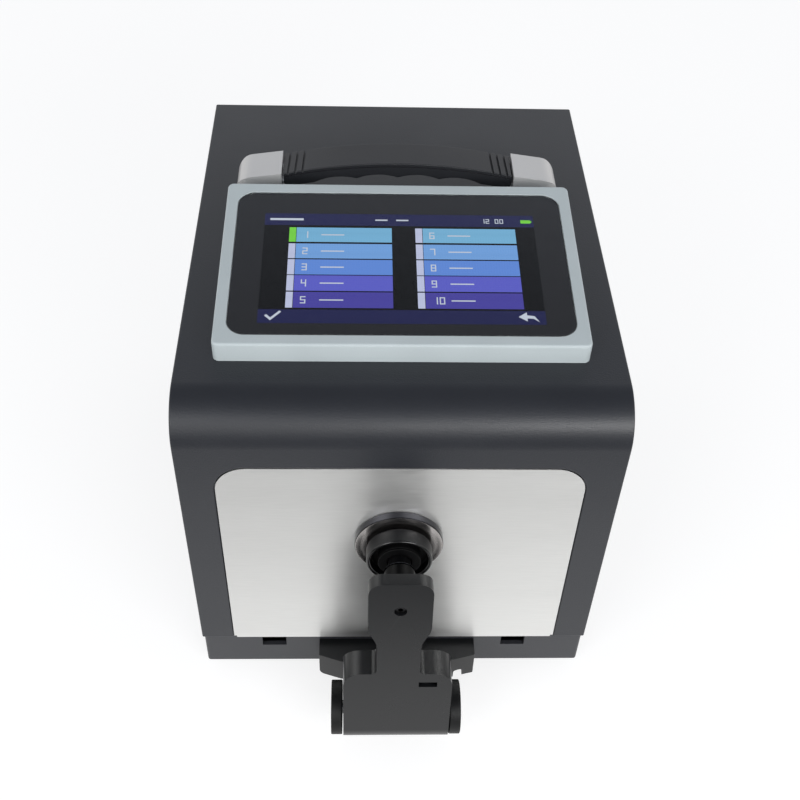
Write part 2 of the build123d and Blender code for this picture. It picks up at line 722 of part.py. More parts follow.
# ---------------------------------------------------------------- carrying handle
def handle_profile(points, depth):
    """Solid from an outline of (x, height over the cover), as deep as given, about the handle."""
    edges = []
    for index, point in enumerate(points):
        following = points[(index + 1) % len(points)]
        if len(point) == 4:
            middle = (point[2], HANDLE_Y, Z_TOP + point[3])
            edges.append(ThreePointArc((point[0], HANDLE_Y, Z_TOP + point[1]), middle,
                                       (following[0], HANDLE_Y, Z_TOP + following[1])))
        else:
            edges.append(Line((point[0], HANDLE_Y, Z_TOP + point[1]),
                              (following[0], HANDLE_Y, Z_TOP + following[1])))
    return extrude(make_face(edges), depth / 2, dir=(0, 1, 0), both=True)


def arch(rise, half_width, end_height, x):
    """Height of a round arch at x, with its ends at end_height."""
    radius = (half_width ** 2 + rise ** 2) / (2 * rise)
    return end_height + rise - radius + sqrt(radius ** 2 - x ** 2)


def handle_cap():
    arch_x = CAP_INNER_X - CAP_ARCH_R
    low = CAP_ARCH_TOP - CAP_ARCH_R
    diagonal = CAP_ARCH_R * cos(radians(45))
    shoulder = (CAP_SHOULDER_X + 2 * CAP_END_X) / 3, (2 * CAP_SHOULDER + CAP_END) / 3
    outline = [
        (arch_x, 0),
        (arch_x, low, arch_x + diagonal, CAP_ARCH_TOP - diagonal),
        (CAP_INNER_X, CAP_ARCH_TOP),
        (CAP_INNER_X, CAP_TOP),
        (CAP_SHOULDER_X, CAP_SHOULDER, *shoulder),
        (CAP_END_X, CAP_END),
        (CAP_BASE_X, 0),
    ]
    cap = handle_profile(outline, CAP_D)
    sides = cap.faces().sort_by(Axis.Y)[0].edges() + cap.faces().sort_by(Axis.Y)[-1].edges()
    raised = [edge for edge in sides if edge.center().Z > Z_TOP + CAP_END / 2]
    cap = fillet([edge for edge in raised if edge.center().X > CAP_INNER_X], CAP_EDGE_R)
    cavity = block((arch_x, CAP_INNER_X + STRAP_TAB + ASSEMBLY_GAP),
                   (HANDLE_Y - STRAP_W / 2 - BODY_GAP, HANDLE_Y + STRAP_W / 2 + BODY_GAP),
                   (Z_TOP + STRAP_UP - BODY_GAP, Z_TOP + STRAP_UP + STRAP_T + GRIP_LIFT + BODY_GAP))
    cap -= cavity
    for x, y in handle_screw_places(1):
        cap -= screw_hole((x, y, Z_TOP), (0, 0, 1), SCREW_L)
    return cap


def grip_half():
    return CAP_INNER_X - GRIP_END_GAP


def scallop_places():
    middle = (SCALLOP_COUNT - 1) / 2
    return [(index - middle) * SCALLOP_PITCH for index in range(SCALLOP_COUNT)]


def handle_grip():
    half = grip_half()
    low = GRIP_END_TOP - GRIP_T
    corner = GRIP_END_R * (1 - cos(radians(45)))
    end_low = arch(GRIP_RISE, half, low, half - GRIP_END_R)
    outline = [
        (-half, GRIP_END_TOP, 0, GRIP_END_TOP + GRIP_RISE),
        (half, GRIP_END_TOP),
        (half, end_low + GRIP_END_R, half - corner, end_low + corner),
        (half - GRIP_END_R, end_low, 0, low + GRIP_RISE),
        (GRIP_END_R - half, end_low, corner - half, end_low + corner),
        (-half, end_low + GRIP_END_R),
    ]
    grip = handle_profile(outline, GRIP_D)
    top_edges = grip.faces().sort_by(Axis.Z)[-1].edges()
    grip = fillet([edge for edge in top_edges if edge.length > half], GRIP_EDGE_R)
    finger_r = ((SCALLOP_PITCH / 2) ** 2 + SCALLOP_DEPTH ** 2) / (2 * SCALLOP_DEPTH)
    for x in scallop_places():
        z = Z_TOP + arch(GRIP_RISE, half, low, x) + SCALLOP_DEPTH - finger_r
        grip -= rod(finger_r, (x, HANDLE_Y - GRIP_D, z), (x, HANDLE_Y + GRIP_D, z))
    for index in range(RIB_COUNT):
        x = half - RIB_FIRST - index * RIB_PITCH
        z = Z_TOP + arch(GRIP_RISE, half, GRIP_END_TOP, x)
        groove = block((x - RIB_W / 2, x + RIB_W / 2), (HANDLE_Y - GRIP_D, HANDLE_Y + GRIP_D),
                       (z - RIB_DEPTH, z + GRIP_T))
        grip -= add_all(both_sides(groove))
    return grip - strap_solid(STRAP_GAP)


def strap_solid(gap):
    """Sprung steel strap, grown by a gap for the slot that holds it."""
    half = grip_half()
    reach = half + GRIP_END_GAP + STRAP_TAB
    low, high = STRAP_UP - gap, STRAP_UP + STRAP_T + gap
    outline = [
        (-reach, high),
        (-half, high, 0, high + STRAP_RISE),
        (half, high),
        (reach, high),
        (reach, low),
        (half, low, 0, low + STRAP_RISE),
        (-half, low),
        (-reach, low),
    ]
    return handle_profile(outline, STRAP_W + 2 * gap)


def handle_strap():
    return strap_solid(0)


def handle_stiffeners():
    """Steel plates under the cover that spread the load of the handle."""
    x = (HANDLE_SCREW_X - STIFFENER_L / 2, HANDLE_SCREW_X + STIFFENER_L / 2)
    plate = block(x, (HANDLE_Y - CAP_D / 2, HANDLE_Y + CAP_D / 2), (Z_ROOF - STIFFENER_T, Z_ROOF))
    for spot_x, y in handle_screw_places(1):
        plate -= screw_hole((spot_x, y, Z_ROOF - STIFFENER_T), (0, 0, 1), STIFFENER_T)
    return both_sides(plate)


def handle_screws():
    places = handle_screw_places(1) + handle_screw_places(-1)
    length = STIFFENER_T + WALL + SCREW_L - 1
    return [pan_screw((x, y, Z_ROOF - STIFFENER_T), (0, 0, 1), length) for x, y in places]


# ---------------------------------------------------------------- measuring port
def sector(radius, start, sweep, y_from, y_to):
    """Pie slice about the port's axis, its angles measured from +X towards +Z."""
    middle = radians(start + sweep / 2)
    reach = radius / cos(radians(sweep / 2))
    spread = radians(sweep / 2)
    tips = [(0, y_from, Z_PORT)]
    for angle in (middle - spread, middle + spread):
        tips.append((reach * cos(angle), y_from, Z_PORT + reach * sin(angle)))
    pie = extrude(make_face(Polyline(*tips, close=True)), y_to - y_from, dir=(0, 1, 0))
    return pie & rod(radius, *along_y(0, Z_PORT, y_from, y_to))


def port_seat():
    groove_r = LUG_R + 2 * RUNNING
    lip_r = SPIGOT_R + RUNNING
    groove_to = SEAT_LIP + LUG_T + 2 * BODY_GAP
    ring = rod(SEAT_R, *along_y(0, Z_PORT, 0, SEAT_L)) - rod(lip_r, *along_y(0, Z_PORT, 0, SEAT_L))
    ring -= rod(groove_r, *along_y(0, Z_PORT, SEAT_LIP, groove_to))
    step = 360 / LUG_COUNT
    for index in range(LUG_COUNT):
        start = index * step + TWIST - LUG_ANGLE / 2 - LUG_SLACK
        ring -= sector(groove_r, start, LUG_ANGLE + 2 * LUG_SLACK, 0, SEAT_LIP)
    return ring


def aperture_plate():
    disc = rod(FLANGE_R, *along_y(0, Z_PORT, Y_FLANGE, -BODY_GAP))
    disc = chamfer(disc.faces().sort_by(Axis.Y)[0].edges(), FLANGE_EDGE)
    lug_from = SEAT_LIP + BODY_GAP
    plate = disc + rod(SPIGOT_R, *along_y(0, Z_PORT, -BODY_GAP, lug_from + LUG_T))
    step = 360 / LUG_COUNT
    for index in range(LUG_COUNT):
        plate += sector(LUG_R, index * step - LUG_ANGLE / 2, LUG_ANGLE, lug_from, lug_from + LUG_T)
    front = Plane(origin=(0, Y_FLANGE, Z_PORT), z_dir=(0, 1, 0))
    back = Plane(origin=(0, lug_from + LUG_T, Z_PORT), z_dir=(0, 1, 0))
    return plate - loft([front * Circle(APERTURE_R), back * Circle(APERTURE_BACK_R)])


# ---------------------------------------------------------------- clamp
def bracket_shape():
    """Block on the base, and the knuckle that carries the hinge pin."""
    low, top = Z_BASE + BRACKET_LOW, Z_BASE + BRACKET_TOP
    plan = Polyline((-BRACKET_LEFT, Y_BASE_FRONT, low), (-BRACKET_LEFT, -BRACKET_END_REACH, low),
                    (-BRACKET_MID, -BRACKET_REACH, low), (BRACKET_MID, -BRACKET_REACH, low),
                    (BRACKET_RIGHT, -BRACKET_END_REACH, low), (BRACKET_RIGHT, Y_BASE_FRONT, low),
                    close=True)
    body = extrude(make_face(plan), top - low, dir=(0, 0, 1))
    body += block((NOTCH_FROM + NOTCH_W, BRACKET_RIGHT), (-BRACKET_END_REACH, Y_BASE_FRONT),
                  (low - LUG_DROP, low))
    body = round_edges(body, BRACKET_CORNER_R, Axis.Y, (-BRACKET_LEFT, -BRACKET_END_REACH / 2, low))
    body -= block((NOTCH_FROM, NOTCH_FROM + NOTCH_W), (-BRACKET_REACH, Y_BASE_FRONT),
                  (low - LUG_DROP, low + NOTCH_H))
    neck = block((-X_KNUCKLE, X_KNUCKLE), (HINGE_Y, -BRACKET_REACH + 1),
                 (Z_HINGE - NECK_DOWN, Z_HINGE + NECK_UP))
    knuckle = rod(KNUCKLE_R, (-X_KNUCKLE, HINGE_Y, Z_HINGE), (X_KNUCKLE, HINGE_Y, Z_HINGE))
    return body + neck + knuckle


def clamp_bracket():
    bracket = bracket_shape()
    bracket -= rod(SHAFT_R + SNUG, (-X_KNUCKLE, HINGE_Y, Z_HINGE), (X_KNUCKLE, HINGE_Y, Z_HINGE))
    for x, z in bracket_screw_places():
        bracket -= screw_hole((x, Y_BASE_FRONT, z), (0, -1, 0), BRACKET_SCREW_L, BRACKET_SCREW_R)
    tang = spring_tang(X_KNUCKLE - TANG - TANG_GAP, X_KNUCKLE, SPRING_WIRE_R + TANG_GAP)
    return bracket - add_all(both_sides(tang))


def bracket_screws():
    y = Y_BASE_FRONT + BASE_WALL
    length = BASE_WALL + BRACKET_SCREW_L - 1
    return [pan_screw((x, y, z), (0, -1, 0), length, BRACKET_SCREW_R, BRACKET_SCREW_HEAD_R,
                      BRACKET_SCREW_HEAD_H) for x, z in bracket_screw_places()]


def hinge_shaft():
    reach = X_END_CAP + END_CAP_BORE
    return rod(SHAFT_R, (-reach, HINGE_Y, Z_HINGE), (reach, HINGE_Y, Z_HINGE))


def hinge_end_caps():
    outer = X_END_CAP + END_CAP_T
    cap = rod(END_CAP_R, (X_END_CAP, HINGE_Y, Z_HINGE), (outer, HINGE_Y, Z_HINGE))
    cap = fillet(cap.faces().sort_by(Axis.X)[-1].edges(), END_CAP_EDGE)
    cap -= rod(SHAFT_R + SNUG, (X_END_CAP, HINGE_Y, Z_HINGE), (X_END_CAP + END_CAP_BORE, HINGE_Y, Z_HINGE))
    return both_sides(cap)


def hinge_bushes():
    inner, outer = (X_CHEEK, HINGE_Y, Z_HINGE), (ARM_LOW_W / 2, HINGE_Y, Z_HINGE)
    return both_sides(tube(BUSH_R - SNUG, SHAFT_R + RUNNING, inner, outer))


def spring_tang(x_from, x_to, radius):
    """Straight end of a clamp spring, parallel to the hinge pin."""
    y = HINGE_Y + SPRING_R * cos(radians(TANG_ANGLE))
    z = Z_HINGE + SPRING_R * sin(radians(TANG_ANGLE))
    return rod(radius, (x_from, y, z), (x_to, y, z))


def clamp_springs():
    x_from = X_KNUCKLE + SPRING_END_GAP + SPRING_WIRE_R
    x_to = X_CHEEK - SPRING_END_GAP - SPRING_WIRE_R
    height = x_to - x_from
    coil = Helix(height / SPRING_TURNS, height, SPRING_R)
    wire = sweep(Plane(origin=coil @ 0, z_dir=coil % 0) * Circle(SPRING_WIRE_R), coil)
    # the coil starts and ends at the angle of its tangs
    outward = (0, cos(radians(TANG_ANGLE)), sin(radians(TANG_ANGLE)))
    place = Plane(origin=(x_from, HINGE_Y, Z_HINGE), x_dir=outward, z_dir=(1, 0, 0)).location
    spring = place * wire
    for end, x_tip in ((coil @ 0, X_KNUCKLE - TANG), (coil @ 1, X_CHEEK + TANG)):
        joint = place * Pos(*end) * Sphere(SPRING_WIRE_R)
        spring = spring + joint + spring_tang(*sorted((x_tip, joint.center().X)), SPRING_WIRE_R)
    return both_sides(spring)


def tangent_point(centre, radius, point, side):
    """Where a line from a point touches a circle in the YZ plane, on one side of it."""
    dy, dz = point[0] - centre[0], point[1] - centre[1]
    angle = atan2(dz, dy) + side * acos(radius / sqrt(dy ** 2 + dz ** 2))
    return centre[0] + radius * cos(angle), centre[1] + radius * sin(angle)


def arm_face():
    """Leaning plane of the arm's front face, from the line where it touches the round foot."""
    lean = radians(ARM_LEAN)
    touch = (0, HINGE_Y - ARM_R * cos(lean), Z_HINGE + ARM_R * sin(lean))
    return Plane(origin=touch, x_dir=(1, 0, 0), z_dir=(0, -cos(lean), sin(lean)))


def arm_side():
    """Side outline of the arm, as wide as its foot."""
    face = arm_face()
    low = face.from_local_coords((0, 0, 0))
    top = face.from_local_coords((0, 2 * ARM_TOP, 0))
    back_low = (Y_ARM_BACK, Z_SHOULDER)
    touch = tangent_point((HINGE_Y, Z_HINGE), ARM_R, back_low, -1)
    bottom = (0, HINGE_Y, Z_HINGE - ARM_R)
    spots = ((low.Y, low.Z), (top.Y, top.Z), (top.Y + ARM_R, top.Z), (Y_ARM_BACK, Z_HEAD), back_low, touch)
    corners = [(0, *spot) for spot in spots]
    outline = [Line(corners[index], corners[index + 1]) for index in range(len(corners) - 1)]
    outline.append(ThreePointArc(corners[-1], bottom, corners[0]))
    return extrude(make_face(outline), ARM_LOW_W / 2, dir=(1, 0, 0), both=True)


def arm_front():
    """Slab behind the arm's leaning face, with the outline that is seen from the front."""
    face = arm_face()

    def up(height):
        return (height - ARM_R * sin(radians(ARM_LEAN))) / cos(radians(ARM_LEAN))

    foot, neck, head = ARM_LOW_W / 2, ARM_NECK_W / 2, HEAD_W / 2
    right = [(foot, -2 * ARM_R), (foot, up(ARM_SHOULDER)), (neck, up(ARM_SHOULDER)),
             (neck, up(ARM_NECK_TOP)), (head, up(HEAD_LOW)), (head, up(ARM_TOP))]
    radii = [0, ARM_SHOULDER_R, ARM_NECK_R, ARM_NECK_R, ARM_NECK_R, HEAD_R]
    outline = make_face(Polyline(*right, *[(-x, level) for x, level in reversed(right)], close=True))
    for (x, level), radius in zip(right, radii):
        if radius:
            corners = [outline.vertices().sort_by_distance((side * x, level, 0))[0] for side in (-1, 1)]
            outline = fillet(corners, radius)
    slab = extrude(face * outline, -4 * ARM_R)
    front = slab.faces().sort_by(Axis((0, 0, 0), face.z_dir))[-1]
    return fillet(front.edges(), ARM_EDGE_R)


def arm_body():
    arm = arm_front() & arm_side()
    arm += rod(HEAD_BOSS_R, *along_y(0, Z_PORT, Y_ARM_BACK - 1, Y_ARM_BACK + BOSS_OUT))
    # room for the bracket's knuckle and for the two springs
    knuckle_x = X_KNUCKLE + BODY_GAP
    knuckle_r = KNUCKLE_R + BODY_GAP
    arm -= rod(knuckle_r, (-knuckle_x, HINGE_Y, Z_HINGE), (knuckle_x, HINGE_Y, Z_HINGE))
    spring_r = SPRING_R + SPRING_WIRE_R + SPRING_ROOM
    arm -= rod(spring_r, (-X_CHEEK, HINGE_Y, Z_HINGE), (X_CHEEK, HINGE_Y, Z_HINGE))
    arm -= block((-knuckle_x, knuckle_x), (HINGE_Y - NECK_DOWN - BODY_GAP, HINGE_Y + 2 * ARM_R),
                 (Z_HINGE - 2 * ARM_R, Z_HINGE + NECK_UP + BODY_GAP))
    arm -= rod(BUSH_R, (-ARM_LOW_W, HINGE_Y, Z_HINGE), (ARM_LOW_W, HINGE_Y, Z_HINGE))
    tang = spring_tang(X_CHEEK, X_CHEEK + TANG + TANG_GAP, SPRING_WIRE_R + TANG_GAP)
    arm -= add_all(both_sides(tang))
    # socket of the ball, with its adjusting screw in front
    arm -= Pos(0, Y_BALL, Z_PORT) * Sphere(BALL_R + RUNNING)
    arm -= rod(ADJUSTER_R + SNUG, *along_y(0, Z_PORT, HINGE_Y - ARM_R, Y_BALL))
    arm -= rod(ADJUSTER_HEAD_R, *along_y(0, Z_PORT, HINGE_Y - ARM_R, adjuster_from()))
    slot_z = Z_HINGE + ARM_SLOT_UP
    slot_y = HINGE_Y - ARM_R + ARM_SLOT_UP * tan(radians(ARM_LEAN))
    return arm - block((ARM_SLOT_X - ARM_SLOT_W / 2, ARM_SLOT_X + ARM_SLOT_W / 2),
                       (slot_y - ARM_SLOT_DEPTH, slot_y + ARM_SLOT_DEPTH),
                       (slot_z - ARM_SLOT_H / 2, slot_z + ARM_SLOT_H / 2))


def adjuster_from():
    """Front end of the adjusting screw, just under the arm's leaning face."""
    face = HINGE_Y - ARM_R + (Z_PORT - Z_HINGE) * tan(radians(ARM_LEAN))
    return face + ADJUSTER_SUNK


def ball_screw():
    y_to = Y_BALL - BALL_R - BODY_GAP
    screw = rod(ADJUSTER_R, *along_y(0, Z_PORT, adjuster_from(), y_to))
    key = Plane(origin=(0, adjuster_from(), Z_PORT), z_dir=(0, 1, 0)) * RegularPolygon(ADJUSTER_HEX_R, 6)
    return screw - extrude(key, ADJUSTER_R)


# ---------------------------------------------------------------- specimen pad
def swivel_ball():
    return Pos(0, Y_BALL, Z_PORT) * Sphere(BALL_R)


def turned_part(profile):
    """Solid of revolution about the port's axis, from its (y, radius) outline."""
    face = make_face(Polyline(*[(radius, y, Z_PORT) for y, radius in profile], close=True))
    return revolve(face, Axis((0, 0, Z_PORT), (0, 1, 0)))


def disc_back():
    """Back face of the stem's disc, just clear of the pad's web."""
    return Y_PAD - PAD_FACE_T - PAD_WEB - BODY_GAP


def pad_stem():
    back = disc_back()
    front = back - STEM_DISC_T
    start = Y_BALL + BALL_R / 2
    flare = front - (front - start) / 3
    stem = turned_part([(start, 0), (start, STEM_BALL_R), (flare, STEM_R), (front, STEM_R),
                        (front, STEM_DISC_R), (back, STEM_DISC_R), (back, 0)])
    return stem - Pos(0, Y_BALL, Z_PORT) * Sphere(BALL_R + RUNNING)


def pad_cup():
    web_back = Y_PAD - PAD_FACE_T
    web_front = web_back - PAD_WEB
    hub_front = disc_back() - STEM_DISC_T - BODY_GAP
    cup = rod(PAD_R, *along_y(0, Z_PORT, Y_PAD_RIM, web_back))
    cup -= rod(PAD_BORE_R, *along_y(0, Z_PORT, Y_PAD_RIM, web_front))
    rim = cup.faces().sort_by(Axis.Y)[0].edges()
    cup = chamfer(rim, (PAD_R - PAD_BORE_R) / 5)
    return cup + tube(HUB_R, STEM_DISC_R + RUNNING, *along_y(0, Z_PORT, hub_front, web_front))


def pad_retainer():
    back = disc_back() - STEM_DISC_T - BODY_GAP
    ring = tube(HUB_R, RETAINER_BORE_R, *along_y(0, Z_PORT, back - RETAINER_T, back))
    return fillet(ring.faces().sort_by(Axis.Y)[0].edges(), RETAINER_T / 3)


def pad_face():
    disc = rod(PAD_FACE_R, *along_y(0, Z_PORT, Y_PAD - PAD_FACE_T, Y_PAD))
    return chamfer(disc.faces().sort_by(Axis.Y)[-1].edges(), PAD_FACE_T / 3)


# ---------------------------------------------------------------- optics
def beam(angle):
    """Unit direction of a line through the specimen, turned from +Y towards +X."""
    return Vector(sin(radians(angle)), cos(radians(angle)), 0)


def beam_point(angle, distance):
    spot = beam(angle) * distance
    return (spot.X, spot.Y, Z_PORT)


def sphere_exit():
    """Distance along a viewing beam from the port to the outside of the sphere."""
    half = Y_SPHERE * cos(radians(VIEW_ANGLE))
    miss = Y_SPHERE * sin(radians(VIEW_ANGLE))
    return half + sqrt(SPHERE_OUT_R ** 2 - miss ** 2)


def sphere_screw_places():
    radius = SPHERE_OUT_R + SPHERE_FLANGE_W / 2
    angles = [radians(180 / SPHERE_SCREWS * (2 * index + 1)) for index in range(SPHERE_SCREWS)]
    return [(radius * cos(angle), Z_PORT + radius * sin(angle)) for angle in angles]


def half_ball(front):
    """Outside of one half of the sphere with its joint flange."""
    far = Y_SPHERE - SPHERE_OUT_R if front else Y_SPHERE + SPHERE_OUT_R
    reach = sorted((far, Y_SPHERE))
    wide = 2 * SPHERE_OUT_R
    side = block((-wide, wide), reach, (Z_PORT - wide, Z_PORT + wide))
    flange_to = Y_SPHERE - SPHERE_FLANGE_T if front else Y_SPHERE + SPHERE_FLANGE_T
    ball = Pos(0, Y_SPHERE, Z_PORT) * Sphere(SPHERE_OUT_R) & side
    return ball + rod(FLANGE_RING_R, *along_y(0, Z_PORT, Y_SPHERE, flange_to))


def sphere_front_half():
    half = half_ball(True)
    half += rod(PORT_BOSS_R, *along_y(0, Z_PORT, Y_BULKHEAD, Y_BULKHEAD + SEAT_L))
    lamp_y = Y_SPHERE - LAMP_OFFSET
    half += rod(LAMP_BOSS_R, (0, lamp_y, Z_PORT), (0, lamp_y, lamp_level()))
    half -= Pos(0, Y_SPHERE, Z_PORT) * Sphere(SPHERE_R)
    half -= rod(SEAT_R + SNUG, *along_y(0, Z_PORT, Y_BULKHEAD, SEAT_L))
    half -= rod(PORT_R, *along_y(0, Z_PORT, Y_BULKHEAD, Y_SPHERE))
    half -= rod(LAMP_BORE_R, (0, lamp_y, Z_PORT), (0, lamp_y, lamp_level()))
    for x, z in sphere_screw_places():
        half -= screw_hole((x, Y_SPHERE, z), (0, -1, 0), SPHERE_FLANGE_T)
    return half


def lamp_level():
    return Z_PORT + SPHERE_OUT_R + LAMP_BOSS_UP


def sphere_rear_half():
    half = half_ball(False)
    exit_at = sphere_exit()
    half += rod(TRAP_BOSS_R, beam_point(-VIEW_ANGLE, exit_at - SPHERE_WALL),
                beam_point(-VIEW_ANGLE, exit_at + TRAP_BOSS_L))
    half -= Pos(0, Y_SPHERE, Z_PORT) * Sphere(SPHERE_R)
    half -= rod(TRAP_R, beam_point(-VIEW_ANGLE, Y_SPHERE), beam_point(-VIEW_ANGLE, exit_at + TRAP_BOSS_L))
    half -= rod(TUBE_R + SNUG, beam_point(VIEW_ANGLE, Y_SPHERE),
                beam_point(VIEW_ANGLE, exit_at + SPHERE_WALL))
    for x, z in sphere_screw_places():
        half -= screw_hole((x, Y_SPHERE, z), (0, 1, 0), SPHERE_FLANGE_T)
    return half


def sphere_screws():
    start = Y_SPHERE + SPHERE_FLANGE_T
    length = 2 * SPHERE_FLANGE_T
    return [pan_screw((x, start, z), (0, -1, 0), length) for x, z in sphere_screw_places()]


def sphere_stand():
    foot = Z_PLATE + PLATE_T
    stand = block((-STAND_W / 2, STAND_W / 2), (Y_SPHERE - STAND_D / 2, Y_SPHERE + STAND_D / 2),
                  (foot, foot + STAND_H))
    return stand - rod(FLANGE_RING_R + SNUG, *along_y(0, Z_PORT, Y_SPHERE - STAND_D, Y_SPHERE + STAND_D))


def lamp_housing():
    low = lamp_level()
    y = Y_SPHERE - LAMP_OFFSET
    body = rod(LAMP_R, (0, y, low), (0, y, low + LAMP_H))
    body -= rod(LED_R + SNUG, (0, y, low), (0, y, low + LED_T))
    pitch = LAMP_H / (LAMP_FINS + 1)
    for index in range(LAMP_FINS):
        level = low + pitch * (index + 1)
        body -= tube(LAMP_R, LAMP_R - LAMP_FIN_DEPTH, (0, y, level), (0, y, level + LAMP_FIN_T))
    return body


def led_module():
    low = lamp_level()
    y = Y_SPHERE - LAMP_OFFSET
    return rod(LED_R, (0, y, low), (0, y, low + LED_T))


def lens_tube():
    start = sphere_exit() - SPHERE_WALL / 2
    ends = beam_point(VIEW_ANGLE, start), beam_point(VIEW_ANGLE, start + TUBE_L)
    return tube(TUBE_R, TUBE_R - TUBE_WALL, *ends)


def view_lens():
    middle = sphere_exit() + TUBE_L - LENS_SETBACK
    bore = TUBE_R - TUBE_WALL - SNUG
    half = LENS_T / 2
    lens = rod(bore, beam_point(VIEW_ANGLE, middle - half), beam_point(VIEW_ANGLE, middle + half))
    dome = 3 * bore
    bow = dome - sqrt(dome ** 2 - bore ** 2)
    cap = Pos(*beam_point(VIEW_ANGLE, middle + half + bow - dome)) * Sphere(dome)
    longer = rod(bore, beam_point(VIEW_ANGLE, middle), beam_point(VIEW_ANGLE, middle + half + 2 * bow))
    return lens + (longer & cap)


def optics_plate():
    plate = block((-PLATE_W / 2, PLATE_W / 2), (PLATE_FROM, PLATE_TO), (Z_PLATE, Z_PLATE + PLATE_T))
    for x, y in plate_places():
        plate -= screw_hole((x, y, Z_PLATE), (0, 0, 1), PLATE_T)
    y = (ribbon_line() - PLATE_T, ribbon_line() + PLATE_T)
    return plate - block((RIBBON_X - RIBBON_W, RIBBON_X + RIBBON_W), y, (Z_PLATE, Z_PLATE + PLATE_T))


def trap_pivot():
    """Middle of the flap's pivot: beside the light trap, in the plane of its flap."""
    out = beam(-VIEW_ANGLE)
    across = Vector(-out.Y, out.X, 0)
    middle = out * (sphere_exit() + TRAP_BOSS_L + BODY_GAP + FLAP_T / 2)
    return middle, middle + across * FLAP_PIVOT


def trap_flap():
    middle, pivot = trap_pivot()
    out = beam(-VIEW_ANGLE)
    half = out * (FLAP_T / 2)
    lift = Vector(0, 0, Z_PORT)
    disc = rod(FLAP_R, tuple(middle - half + lift), tuple(middle + half + lift))
    across = (pivot - middle).normalized()
    bar_plane = Plane(origin=middle - half + lift, x_dir=across, z_dir=out)
    bar = extrude(bar_plane * (Pos(FLAP_PIVOT / 2, 0) * Rectangle(FLAP_PIVOT, FLAP_ARM_W)), FLAP_T)
    low, high = Vector(0, 0, Z_PORT - MOTOR_SHAFT_UP / 2), Vector(0, 0, Z_PORT + FLAP_ARM_W / 2)
    hub = rod(FLAP_HUB_R, tuple(pivot + low), tuple(pivot + high))
    return disc + bar + hub - rod(MOTOR_SHAFT_R + RUNNING, tuple(pivot + low), tuple(pivot + high))


def trap_motor():
    pivot = trap_pivot()[1]
    top = Z_PORT - MOTOR_SHAFT_UP
    can_low, can_top = Vector(0, 0, top - MOTOR_H), Vector(0, 0, top)
    shaft_top = Vector(0, 0, Z_PORT + FLAP_ARM_W / 2)
    can = rod(MOTOR_R, tuple(pivot + can_low), tuple(pivot + can_top))
    return can + rod(MOTOR_SHAFT_R, tuple(pivot + can_top), tuple(pivot + shaft_top))


def trap_motor_post():
    pivot = trap_pivot()[1]
    foot = Z_PLATE + PLATE_T
    half = POST_W / 2
    return block((pivot.X - half, pivot.X + half), (pivot.Y - half, pivot.Y + half),
                 (foot, Z_PORT - MOTOR_SHAFT_UP - MOTOR_H))


# ---------------------------------------------------------------- spectrometer
def spec_box():
    """Corners of the spectrometer's box: it starts where the lens tube ends."""
    end = beam_point(VIEW_ANGLE, sphere_exit() - SPHERE_WALL / 2 + TUBE_L)
    front = end[1] - SPEC_WALL - TUBE_R * sin(radians(VIEW_ANGLE))
    low_x = end[0] - SPEC_W / 2 + SPEC_SHIFT
    return (low_x, low_x + SPEC_W), (front, front + SPEC_D), (Z_PORT - SPEC_H / 2, Z_PORT + SPEC_H / 2)


def shrink(span, amount):
    return span[0] + amount, span[1] - amount


def spectrometer_box():
    x, y, z = spec_box()
    box = block(x, y, z) - block(shrink(x, SPEC_WALL), shrink(y, SPEC_WALL), (z[0] + SPEC_WALL, z[1]))
    start = sphere_exit()
    box -= rod(TUBE_R + SNUG, beam_point(VIEW_ANGLE, start),
               beam_point(VIEW_ANGLE, start + TUBE_L + SPEC_WALL))
    foot = Z_PLATE + PLATE_T
    xs, ys = shrink(x, SPEC_POST_INSET), shrink(y, SPEC_POST_INSET)
    legs = [rod(SPEC_POST_R, (leg_x, leg_y, foot), (leg_x, leg_y, z[0])) for leg_x in xs for leg_y in ys]
    return box + add_all(legs)


def spectrometer_lid():
    x, y, z = spec_box()
    lid = block(x, y, (z[1], z[1] + SPEC_LID_T))
    rim = shrink(x, SPEC_WALL + ASSEMBLY_GAP), shrink(y, SPEC_WALL + ASSEMBLY_GAP)
    return lid + block(*rim, (z[1] - SPEC_LID_T / 2, z[1]))


def diffraction_grating():
    y = spec_box()[1]
    spot = beam_point(VIEW_ANGLE, y[1] / cos(radians(VIEW_ANGLE)))
    back = y[1] - SPEC_WALL
    blank = rod(GRATING_R, (spot[0], back - GRATING_T, Z_PORT), (spot[0], back, Z_PORT))
    bottom = back - GRATING_T + GRATING_T / 4
    return blank - Pos(spot[0], bottom - GRATING_HOLLOW_R, Z_PORT) * Sphere(GRATING_HOLLOW_R)


def sensor_board():
    x, y = spec_box()[:2]
    inner = x[1] - SPEC_WALL
    middle = (y[0] + y[1]) / 2
    board = block((inner - BOARD_T, inner), (middle - SENSOR_W / 2, middle + SENSOR_W / 2),
                  (Z_PORT - SENSOR_H / 2, Z_PORT + SENSOR_H / 2))
    chip = block((inner - 2 * BOARD_T, inner - BOARD_T), (middle - SENSOR_W / 3, middle + SENSOR_W / 3),
                 (Z_PORT - SENSOR_H / 5, Z_PORT + SENSOR_H / 5))
    return board + chip


# ---------------------------------------------------------------- electronics
def board_level():
    return Z_FLOOR + STANDOFF_H


